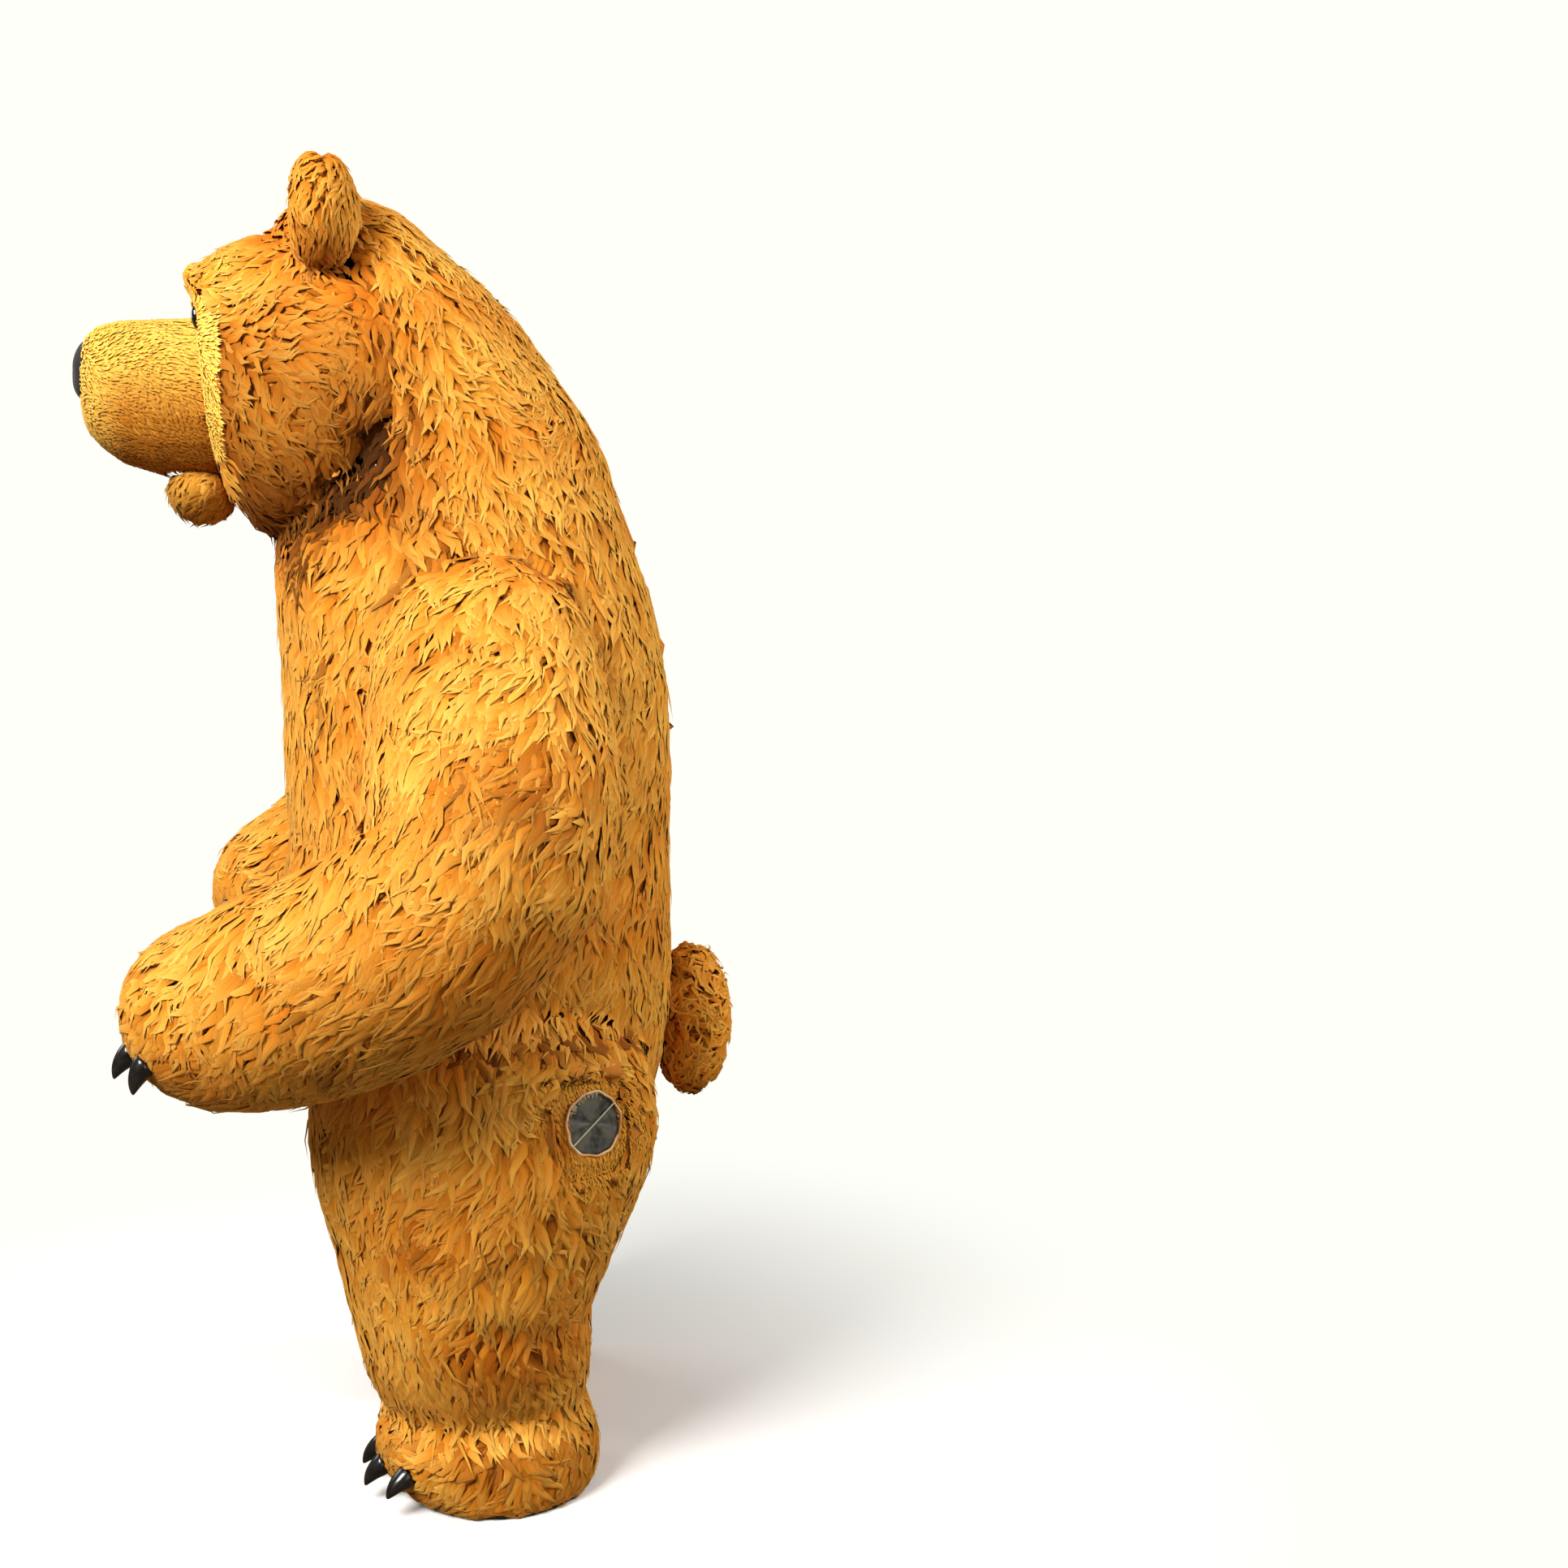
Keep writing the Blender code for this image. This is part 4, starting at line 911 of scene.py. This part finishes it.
def dressPanel(name, surface, seed):
    coat = "short" if name in shortPanels else "curly" if name == "tail" else "long"
    skin, area = makeSkin(name, surface, piles[pileOf(name)]["sink"] + cloth["below"], cloth["thick"])
    wear(skin, backing[coat])
    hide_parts(name)
    if name == "face_mask":
        low, high = shortStrip
        strip, locks = growPile(name, name, surface, seed, "short", "short",
                                lambda roots: (roots[:, 2] > low) & (roots[:, 2] < high))
        tufts, _ = growPile(name, "mask_rim", surface, seed, "rim", "long",
                            lambda roots: (roots[:, 2] < low) | (roots[:, 2] > high))
        return skin, [strip, tufts], locks, area
    if np.linalg.norm(outside[name][0] - ventMiddle, axis=1).min() > ventClear or name == "vent_patch":
        fur, locks = growPile(name, name, surface, seed, pileOf(name), coat,
                              lambda roots: np.ones(len(roots), bool))
        return skin, [fur], locks, area
    # close to the air inlet the pile is shorn
    fur, locks = growPile(name, name, surface, seed, pileOf(name), coat,
                          lambda roots: np.linalg.norm(roots - ventMiddle, axis=1) > ventClear)
    shorn, _ = growPile(name, name + "_shorn", surface, seed, "short", "short",
                        lambda roots: np.linalg.norm(roots - ventMiddle, axis=1) < ventClear + shornOverlap)
    return skin, [fur, shorn], locks, area


coatSurface = Surface(furPanels)
eyePlaces = [findEye(side, coatSurface)[0] for side in (1, -1)]
print("surface ready", len(coatSurface.corners), "faces, eyes at", eyePlaces)
totalLocks = 0
totalFaces = 0
totalArea = 0.0
panels = {}
for seed, name in enumerate(furPanels, firstSeed):
    skin, fur, locks, area = dressPanel(name, coatSurface, seed)
    totalLocks += len(locks["tone"])
    faces = sum(len(piece.data.polygons) for piece in fur)
    totalFaces += faces
    totalArea += locks["area"]
    panels[name] = (skin, fur, area)
    print(name, len(locks["tone"]), "locks", round(locks["area"], 3), "m2", faces, "faces")
print("pile done", totalLocks, "locks", totalFaces, "faces", round(totalArea, 2), "m2")


# Claws, eyes and nose

def glossMaterial(name, hexColour, roughness, coat):
    # moulded soft vinyl: a deep gloss with faint waves from the mould
    material, shader = newMaterial(name)
    waves = addNoise(material, 60.0, 2.0)
    colour = addRamp(material, waves, [(0.3, linear(hexColour)), (0.75, linear("#2A2522"))])
    finishMaterial(material, shader, colour, waves, 0.12, 0.001, roughness)
    shader.inputs["Coat Weight"].default_value = coat
    shader.inputs["Coat Roughness"].default_value = 0.08
    return material


clawVinyl = glossMaterial("mouldedClawVinyl", "#0E0C0B", 0.30, 0.5)
eyeVinyl = glossMaterial("polishedEyeVinyl", "#070605", 0.12, 1.0)

clawShape = {
    "sides": 20,
    "length": 0.056,
    "radius": 0.0250,
    "bend": 1.2,          # how fast the horn's steps shorten along its length, in radians
    "droop": {"paw": 0.62, "foot": 0.60},
    "droopShare": 0.8,
    "steps": [0.18, 0.36, 0.54, 0.70, 0.84, 0.94, 1.0],   # shares of the length
}


def makeHorn(droop):
    # a blunt horn along -Y that bends down: a disc, extruded and drawn in step by step
    length, radius, bend = clawShape["length"], clawShape["radius"], clawShape["bend"]
    drop = length * droop * clawShape["droopShare"]
    bpy.ops.object.select_all(action="DESELECT")
    bpy.ops.mesh.primitive_circle_add(vertices=clawShape["sides"], radius=radius, fill_type="NGON",
                                      rotation=(math.radians(90), 0, 0))
    horn = bpy.context.object
    bpy.ops.object.transform_apply(location=True, rotation=True, scale=True)
    bpy.ops.object.mode_set(mode="EDIT")
    bpy.ops.mesh.select_all(action="SELECT")
    place = Vector((0, 0, 0))
    wide = 1.0
    for share in clawShape["steps"]:
        there = Vector((0, -length * math.sin(share * bend) / math.sin(bend), -drop * share ** 1.6))
        width = max((1 - share) ** 0.55, 0.07)
        bpy.ops.mesh.extrude_region_move(TRANSFORM_OT_translate={"value": there - place})
        bpy.ops.transform.resize(value=(width / wide,) * 3, center_override=there)
        place, wide = there, width
    bpy.ops.mesh.select_all(action="SELECT")
    bpy.ops.mesh.normals_make_consistent(inside=False)
    bpy.ops.object.mode_set(mode="OBJECT")
    smooth = horn.modifiers.new("round", "SUBSURF")
    smooth.levels = smooth.render_levels = 1
    bpy.ops.object.modifier_apply(modifier="round")
    bpy.ops.object.shade_smooth()
    return horn


def hangClaws():
    for limb, droop in clawShape["droop"].items():
        horn = makeHorn(droop)
        fall = droop * clawShape["droopShare"]
        tipHere = Vector((0, -clawShape["length"], -clawShape["length"] * fall))
        slope = math.atan(fall)
        for name in sorted(nodes):
            if not name.startswith("claw_" + limb):
                continue
            points, corners = meshArrays(nodes[name])
            tip = points[np.linalg.norm(points - points.mean(0), axis=1).argmax()]
            away = np.linalg.norm(points - tip, axis=1)
            foot = points[away > 0.75 * away.max()].mean(0)
            heading = Vector(tip - foot).normalized()
            yaw = math.atan2(heading.x, -heading.y)
            pitch = math.asin(max(-1.0, min(1.0, heading.z))) + slope
            turn = Matrix.Rotation(yaw, 4, "Z") @ Matrix.Rotation(-pitch, 4, "X")
            shift = Vector(tip) - turn @ tipHere
            mesh = horn.data.copy()
            mesh.transform(Matrix.Translation(shift) @ turn)
            claw = addPiece(name + "_horn", mesh)
            wear(claw, clawVinyl)
            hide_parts(name)
        bpy.data.objects.remove(horn, do_unlink=True)


hangClaws()
print("claws done")

eyeShape = {"halfWidth": 0.0145, "halfHeight": 0.0225, "halfDepth": 0.0100, "sunk": 0.0050}


def makeEyes():
    for word, side in sides.items():
        spot, normal = findEye(side, coatSurface)
        bpy.ops.object.select_all(action="DESELECT")
        bpy.ops.mesh.primitive_uv_sphere_add(segments=32, ring_count=20, radius=1.0)
        eye = bpy.context.object
        eye.name = "eye_%s_dome" % word
        eye.scale = (eyeShape["halfWidth"], eyeShape["halfDepth"], eyeShape["halfHeight"])
        eye.rotation_euler = Vector(normal).to_track_quat("-Y", "Z").to_euler()
        eye.location = Vector(spot) - Vector(normal) * eyeShape["sunk"]
        bpy.ops.object.transform_apply(location=True, rotation=True, scale=True)
        bpy.ops.object.shade_smooth()
        wear(eye, eyeVinyl)
        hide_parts("eye_" + word)


makeEyes()
print("eyes done")


def feltMaterial(name, hexColour, hexLight):
    # pressed wool felt: matt, with short stray fibres on its face
    material, shader = newMaterial(name)
    fibres = addNoise(material, 700.0, 5.0)
    nap = addNoise(material, 45.0, 2.0)
    both = addNode(material, "ShaderNodeMath", {0: fibres, 1: nap}, operation="MULTIPLY")
    colour = addRamp(material, both.outputs["Value"], [(0.12, linear(hexColour)), (0.45, linear(hexLight))])
    finishMaterial(material, shader, colour, fibres, 0.6, 0.0012, 0.92)
    shader.inputs["Sheen Weight"].default_value = 0.35
    shader.inputs["Sheen Tint"].default_value = linear("#8A8178")
    return material


noseShape = {
    "halfWidth": 0.0610, "halfDepth": 0.0270, "halfHeight": 0.0585,
    "lean": 8.0,             # degrees, its top leans back
    "narrow": 0.24,          # how much narrower its foot is than its top
    "nostril": (0.024, -0.012, 0.012, 0.0060),   # across, up, reach and depth
}
noseFelt = feltMaterial("darkWoolFelt", "#1E1C1D", "#3C393A")


def makeNose():
    low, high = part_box("nose")
    bpy.ops.object.select_all(action="DESELECT")
    bpy.ops.mesh.primitive_uv_sphere_add(segments=56, ring_count=36, radius=1.0,
                                         rotation=(math.radians(90), 0, 0))
    nose = bpy.context.object
    nose.name = "nose_dome"
    bpy.ops.object.transform_apply(location=True, rotation=True, scale=True)
    across, up, reach, deep = noseShape["nostril"]
    for vertex in nose.data.vertices:
        x, y, z = vertex.co
        x = math.copysign(abs(x) ** 0.92, x) * (1 - noseShape["narrow"] * (0.5 - 0.5 * z))
        x, y, z = x * noseShape["halfWidth"], y * noseShape["halfDepth"], z * noseShape["halfHeight"]
        if y < 0:
            for side in (1, -1):
                near = ((x - side * across) ** 2 + (z - up) ** 2) / reach ** 2
                y += deep * math.exp(-near)
        vertex.co = (x, y, z)
    nose.rotation_euler = (math.radians(-noseShape["lean"]), 0, 0)
    nose.location = (0, low[1] + noseShape["halfDepth"], (low[2] + high[2]) / 2)
    bpy.ops.object.transform_apply(location=True, rotation=True, scale=True)
    bpy.ops.object.shade_smooth()
    wear(nose, noseFelt)
    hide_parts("nose")


makeNose()


def threadMaterial(name, hexColour, hexDark):
    # twisted polyester thread: fine slanting ridges
    material, shader = newMaterial(name)
    place = addNode(material, "ShaderNodeTexCoord")
    twist = addNode(material, "ShaderNodeTexWave",
                    {"Vector": place.outputs["Object"], "Scale": 260.0, "Distortion": 1.5, "Detail": 1.0})
    colour = addRamp(material, twist.outputs["Fac"], [(0.2, linear(hexDark)), (0.8, linear(hexColour))])
    finishMaterial(material, shader, colour, twist.outputs["Fac"], 0.5, 0.0006, 0.75)
    return material


def makeTubes(name, lines, radius, material, roundness):
    # a closed tube along each line, from a curve with a round bevel
    curve = bpy.data.curves.new(name, "CURVE")
    curve.dimensions = "3D"
    curve.bevel_depth = radius
    curve.bevel_resolution = roundness
    curve.use_fill_caps = True
    for line in lines:
        spline = curve.splines.new("POLY")
        spline.points.add(len(line) - 1)
        for point, place in zip(spline.points, line):
            point.co = (*place, 1.0)
    selectOnly(addPiece(name, curve))
    bpy.ops.object.convert(target="MESH")
    tubes = bpy.context.object
    if roundness:
        bpy.ops.object.shade_smooth()
    wear(tubes, material)
    return tubes


seamThread = threadMaterial("darkBrownThread", "#4A2A12", "#2A1608")
noseSeam = {"top": 2.152, "foot": 2.066, "front": -0.64, "radius": 0.0016, "proud": 0.0004}


def makeNoseSeam():
    # the stitched line from the nose down the front of the snout
    heights = np.linspace(noseSeam["top"], noseSeam["foot"], 20)
    places = np.stack((0 * heights, np.full(len(heights), noseSeam["front"]), heights), 1)
    spots, normals = coatSurface.nearest(places)
    line = spots + normals * noseSeam["proud"]
    makeTubes("nose_seam", [line], noseSeam["radius"], seamThread, 2)


makeNoseSeam()
print("nose done")


# Air inlet in the left hip

vent = {
    "rings": 14,
    "spokes": 72,
    "sectors": 5,          # folds of the net, with painted light and shade on them
    "fold": 0.0012,
    "rim": 0.0027,         # half the thickness of the rolled edge
    "frays": 46,
    "fray": 0.0006,        # half the thickness of a frayed thread
    "cord": 0.0017,        # half the thickness of the cord
    "cordSlant": 33,       # degrees
    "thread": 0.0012,      # the thickness of the net, and how far it lies below the top of its solid
}


def netMaterial(name):
    # knitted polyester net, dark grey, with painted light and shade on its folds in sectors
    material, shader = newMaterial(name)
    sector = addNode(material, "ShaderNodeAttribute", attribute_name="sector")
    uv = addNode(material, "ShaderNodeUVMap", uv_map="net")
    mesh = addNode(material, "ShaderNodeTexChecker", {"Vector": uv.outputs["UV"], "Scale": 120.0})
    dust = addNode(material, "ShaderNodeTexNoise", {"Vector": uv.outputs["UV"], "Scale": 9.0, "Detail": 4.0})
    # the painted light and shade of the folds, with dust
    tone = addNode(material, "ShaderNodeMath", {0: sector.outputs["Fac"], 1: dust.outputs["Fac"]},
                   operation="ADD")
    colour = addRamp(material, tone.outputs["Value"], [(0.45, linear("#23211C")), (1.35, linear("#6E6B60"))])
    holes = addNode(material, "ShaderNodeMapRange", {"Value": mesh.outputs["Fac"], "To Min": 0.62})
    shade = addNode(material, "ShaderNodeVectorMath", {0: colour, "Scale": holes.outputs["Result"]},
                    operation="SCALE")
    finishMaterial(material, shader, shade.outputs["Vector"], mesh.outputs["Fac"], 0.4, 0.0006, 0.55)
    return material


def ventFrame():
    # the middle of the net, the ways it faces, runs level and rises, its radius and its top above the middle
    points, _ = meshArrays(nodes["vent_net"])
    middle = points.mean(0)
    facing = np.linalg.svd(points - middle, full_matrices=False)[2][2]
    facing = facing * np.sign(facing[0])
    level = unit(np.cross((0.0, 0.0, 1.0), facing))
    rise = np.cross(facing, level)
    reach = np.linalg.norm(points - middle, axis=1).max()
    top = ((points - middle) @ facing).max()
    return middle, facing, level, rise, reach, top


def makeNet():
    middle, facing, level, rise, reach, top = ventFrame()
    source = np.random.default_rng(5)
    rings, spokes = vent["rings"], vent["spokes"]
    starts = source.uniform(0, 2 * math.pi)
    points = [(0.0, 0.0, 0.0)]
    foldLightAndShade = [0.4]
    for ring in range(1, rings + 1):
        share = ring / rings
        for k in range(spokes):
            angle = 2 * math.pi * k / spokes
            swing = 0.7 * math.sin(vent["sectors"] * angle + starts + 1.3 * math.sin(2 * angle) + 0.9 * share)
            swing += 0.5 * math.sin(3 * angle + 2.0 + 1.6 * share)
            swing = math.copysign(abs(swing) ** 0.5, swing)
            fold = vent["fold"] * swing * math.sin(math.pi * share)
            points.append((reach * share * math.cos(angle), reach * share * math.sin(angle), fold))
            # painted light and shade: each fold is painted lighter or darker as it swings
            tone = 0.22 * swing * min(1.0, 2.0 * share) * (1.15 - 0.5 * share)
            foldLightAndShade.append(0.34 + tone + 0.03 * source.normal())
    faces = [(0, 1 + k, 1 + (k + 1) % spokes) for k in range(spokes)]
    for ring in range(rings - 1):
        for k in range(spokes):
            a = 1 + ring * spokes + k
            b = 1 + ring * spokes + (k + 1) % spokes
            faces.append((a, a + spokes, b + spokes, b))
    places = [middle + level * x + rise * y + facing * (top - vent["thread"] + z) for x, y, z in points]
    mesh = bpy.data.meshes.new("net")
    mesh.from_pydata([tuple(place) for place in places], [], faces)
    net = addPiece("vent_net_cloth", mesh)
    tone = mesh.attributes.new("sector", "FLOAT", "POINT")
    tone.data.foreach_set("value", foldLightAndShade)
    uv = mesh.uv_layers.new(name="net")
    spread = np.array([(0.5 + points[loop.vertex_index][0] / reach / 2,
                        0.5 + points[loop.vertex_index][1] / reach / 2) for loop in mesh.loops])
    uv.uv.foreach_set("vector", spread.ravel())
    selectOnly(net)
    solidify = net.modifiers.new("thread", "SOLIDIFY")
    solidify.thickness = vent["thread"]
    solidify.offset = -1
    bpy.ops.object.modifier_apply(modifier="thread")
    bpy.ops.object.shade_smooth()
    wear(net, netMaterial("knittedVentNet"))
    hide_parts("vent_net")


def tapeMaterial(name):
    # the raw edge of the backing cloth: peach and cream, with stray threads
    material, shader = newMaterial(name)
    broad = addNoise(material, 30.0, 2.0)
    fine = addNoise(material, 800.0, 3.0)
    colour = addRamp(material, broad, [(0.35, linear("#B98048")), (0.5, linear("#D9A878")),
                                       (0.68, linear("#E8D6A6"))])
    finishMaterial(material, shader, colour, fine, 0.6, 0.001, 0.9)
    return material


rawTape = tapeMaterial("rawCreamEdge")
paleCord = threadMaterial("paleCord", "#D8D2B8", "#A89F86")


def makeRim():
    # the rolled edge of the hole, uneven as sewn by hand, and its frayed threads at the upper left
    middle, facing, level, rise, reach, top = ventFrame()
    source = np.random.default_rng(6)
    count = 96
    places = []
    for k in range(count + 1):
        angle = 2 * math.pi * k / count
        uneven = 0.0011 * math.sin(5 * angle + 1.0) + 0.0009 * math.sin(11 * angle)
        radius = reach + vent["rim"] * 0.6 + uneven
        places.append(middle + level * radius * math.cos(angle) + rise * radius * math.sin(angle)
                      + facing * (top + 0.0016))
    rim = makeTubes("vent_edge", [places], vent["rim"], rawTape, 3)
    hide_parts("vent_binding")
    threads = []
    for k in range(vent["frays"]):
        angle = math.radians(source.uniform(72, 150))
        start = reach + 0.003
        inward = source.uniform(0.005, 0.014)
        lean = math.radians(source.uniform(-35, 35))
        a = np.array((start * math.cos(angle), start * math.sin(angle), top + 0.003))
        turn = angle + lean * 0.1
        b = np.array(((start - inward) * math.cos(turn), (start - inward) * math.sin(turn),
                      top + source.uniform(0.001, 0.005)))
        bow = np.array((source.normal() * 0.0015, source.normal() * 0.0015, source.uniform(0, 0.0015)))
        line = [a, (a + b) / 2 + bow, b]
        threads.append([middle + level * p[0] + rise * p[1] + facing * p[2] for p in line])
    frays = makeTubes("vent_frays", threads, vent["fray"], paleCord, 0)
    # the cord across the net, drawn tight from edge to edge
    slant = math.radians(vent["cordSlant"])
    half = reach + 0.002
    line = [middle + (level * math.cos(slant) + rise * math.sin(slant)) * half * k + facing * (top + 0.0030)
            for k in np.linspace(-1, 1, 15)]
    cord = makeTubes("vent_line", [line], vent["cord"], paleCord, 3)
    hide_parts("vent_cord")
    return [rim, frays, cord]


makeNet()
ventTrim = makeRim()
print("air inlet done")


# Back zip: a brown tape and two rows of teeth, deep between the banks of pile

zipShape = {
    "pitch": 0.0062,
    "tooth": (0.0042, 0.0026, 0.0034),
    "apart": 0.0016,       # from the middle line to the middle of a tooth
    "proud": 0.0010,       # the teeth above the tape
    "deeper": 0.004,       # the tape below its solid
    "window": 0.06,        # the stretch of the solid that one tooth is laid on
}


def wovenMaterial(name, hexColour, hexDark, scale):
    # closely woven tape: dull, with a fine rib across it
    material, shader = newMaterial(name)
    place = addNode(material, "ShaderNodeTexCoord")
    rib = addNode(material, "ShaderNodeTexWave",
                  {"Vector": place.outputs["Object"], "Scale": scale, "Distortion": 0.6}, bands_direction="Z")
    colour = addRamp(material, rib.outputs["Fac"], [(0.2, linear(hexDark)), (0.8, linear(hexColour))])
    finishMaterial(material, shader, colour, rib.outputs["Fac"], 0.4, 0.0006, 0.85)
    return material


def copyNode(name, newName):
    # a welded copy of one solid
    points, corners = meshArrays(nodes[name])
    mesh = bpy.data.meshes.new(newName)
    mesh.from_pydata([tuple(p) for p in points], [], [tuple(int(v) for v in face) for face in corners])
    piece = addPiece(newName, mesh)
    selectOnly(piece)
    bpy.ops.object.mode_set(mode="EDIT")
    bpy.ops.mesh.select_all(action="SELECT")
    bpy.ops.mesh.remove_doubles(threshold=0.00005)
    bpy.ops.mesh.tris_convert_to_quads()
    bpy.ops.object.mode_set(mode="OBJECT")
    return piece


def makeZip():
    tape = copyNode("back_zip", "back_zip_tape")
    tape.data.transform(Matrix.Translation((0, -zipShape["deeper"], 0)))
    wear(tape, wovenMaterial("wovenZipTape", "#8A5420", "#5E3610", 400.0))
    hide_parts("back_zip")
    points, _ = meshArrays(nodes["back_zip"])
    levels = np.arange(points[:, 2].min() + 0.008, points[:, 2].max() - 0.004, zipShape["pitch"])
    bm = bmesh.new()
    for height in levels:
        near = points[np.abs(points[:, 2] - height) < zipShape["window"]]
        outer = {}
        for p in near[np.argsort(-near[:, 1])]:
            outer.setdefault(round(p[2], 3), p[1])
        heights = sorted(outer)
        depth = np.interp(height, heights, [outer[h] for h in heights])
        for side in (1, -1):
            middle = Vector((side * zipShape["apart"], depth + zipShape["proud"] - zipShape["deeper"],
                             height + side * zipShape["pitch"] / 4))
            made = bmesh.ops.create_cube(bm, size=1.0)["verts"]
            bmesh.ops.scale(bm, vec=zipShape["tooth"], verts=made)
            bmesh.ops.translate(bm, vec=middle, verts=made)
    bmesh.ops.recalc_face_normals(bm, faces=bm.faces)
    mesh = bpy.data.meshes.new("back_zip_teeth")
    bm.to_mesh(mesh)
    bm.free()
    teeth = addPiece("back_zip_teeth", mesh)
    wear(teeth, glossMaterial("mouldedZipTeeth", "#5A3412", 0.45, 0.1))
    return [tape, teeth]


zipPieces = makeZip()
print("zip done")


# Soles: foam under dark coated cloth, with a rounded welt

def makeSoles():
    coated = wovenMaterial("coatedSoleCloth", "#4A3A2A", "#2E241A", 300.0)
    for word in sides:
        sole = copyNode("sole_" + word, "sole_%s_pad" % word)
        bevel = sole.modifiers.new("welt", "BEVEL")
        bevel.width = 0.003
        bevel.segments = 3
        bevel.limit_method = "ANGLE"
        bevel.angle_limit = math.radians(50)
        bpy.ops.object.modifier_apply(modifier="welt")
        bpy.ops.object.shade_smooth_by_angle(angle=math.radians(40))
        wear(sole, coated)
        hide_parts("sole_" + word)


makeSoles()

for name, (skin, fur, area) in panels.items():
    declareCloth(name)


# Light and floor

lightPlan = {
    "fill": 0.13,         # what the white surroundings give the suit
    "backdrop": 0.86,     # how bright they are to the eye
    "fadeFrom": 0.5,      # where the floor starts to run into them, in metres from the suit
    "fadeTo": 2.0,
    "aim": (0, 0, 1.3),
    "lamps": [            # each with its place, its size in metres and its watts
        ("key", (4.4, -3.9, 6.0), 3.4, 790.0),
        ("rim", (0.8, 4.6, 3.9), 2.5, 170.0),
        ("side", (5.0, 2.2, 2.2), 3.0, 50.0),
        ("front", (-3.2, -4.2, 3.4), 3.0, 75.0),
    ],
}


def makeStage():
    bpy.ops.object.select_all(action="DESELECT")
    bpy.ops.mesh.primitive_plane_add(size=120.0, location=(0, 0, -0.0005))
    floor = bpy.context.object
    floor.name = "floor"
    material, shader = newMaterial("paleFloor")
    shader.inputs["Base Color"].default_value = linear("#F4F3F0")
    shader.inputs["Roughness"].default_value = 0.85
    # the floor throws back less light than it shows, as beside a photographer's flags, and fades into the white
    dim = addNode(material, "ShaderNodeBsdfDiffuse", {"Color": linear("#6E6658")})
    path = addNode(material, "ShaderNodeLightPath")
    place = addNode(material, "ShaderNodeTexCoord")
    far = addNode(material, "ShaderNodeVectorMath", {0: place.outputs["Object"]}, operation="LENGTH")
    fade = addNode(material, "ShaderNodeMapRange",
                   {"Value": far.outputs["Value"], "From Min": lightPlan["fadeFrom"],
                    "From Max": lightPlan["fadeTo"]}, interpolation_type="SMOOTHSTEP")
    white = addNode(material, "ShaderNodeEmission",
                    {"Color": linear("#FBFCF5"), "Strength": lightPlan["backdrop"]})
    seen = addNode(material, "ShaderNodeMixShader",
                   {0: fade.outputs["Result"], 1: shader.outputs["BSDF"], 2: white.outputs["Emission"]})
    mix = addNode(material, "ShaderNodeMixShader",
                  {0: path.outputs["Is Camera Ray"], 1: dim.outputs["BSDF"], 2: seen.outputs["Shader"]})
    output = material.node_tree.nodes["Material Output"]
    material.node_tree.links.new(mix.outputs["Shader"], output.inputs["Surface"])
    floor.data.materials.append(material)
    world = bpy.context.scene.world or bpy.data.worlds.new("studio")
    bpy.context.scene.world = world
    world.use_nodes = True
    # the backdrop is white to the eye, and gives the suit only a soft fill
    tree = world.node_tree
    sky = tree.nodes["Background"]
    sky.inputs["Color"].default_value = linear("#FBFCF5")
    path = tree.nodes.new("ShaderNodeLightPath")
    strength = tree.nodes.new("ShaderNodeMapRange")
    strength.inputs["To Min"].default_value = lightPlan["fill"]
    strength.inputs["To Max"].default_value = lightPlan["backdrop"]
    tree.links.new(path.outputs["Is Camera Ray"], strength.inputs["Value"])
    tree.links.new(strength.outputs["Result"], sky.inputs["Strength"])
    for name, place, size, watts in lightPlan["lamps"]:
        bpy.ops.object.light_add(type="AREA", location=place)
        lamp = bpy.context.object
        lamp.name = name
        lamp.data.size = size
        lamp.data.energy = watts
        aim = Vector(lightPlan["aim"]) - Vector(place)
        lamp.rotation_euler = aim.to_track_quat("-Z", "Y").to_euler()
    bpy.context.scene.view_settings.view_transform = "Standard"
    bpy.context.scene.view_settings.look = "Medium High Contrast"


makeStage()
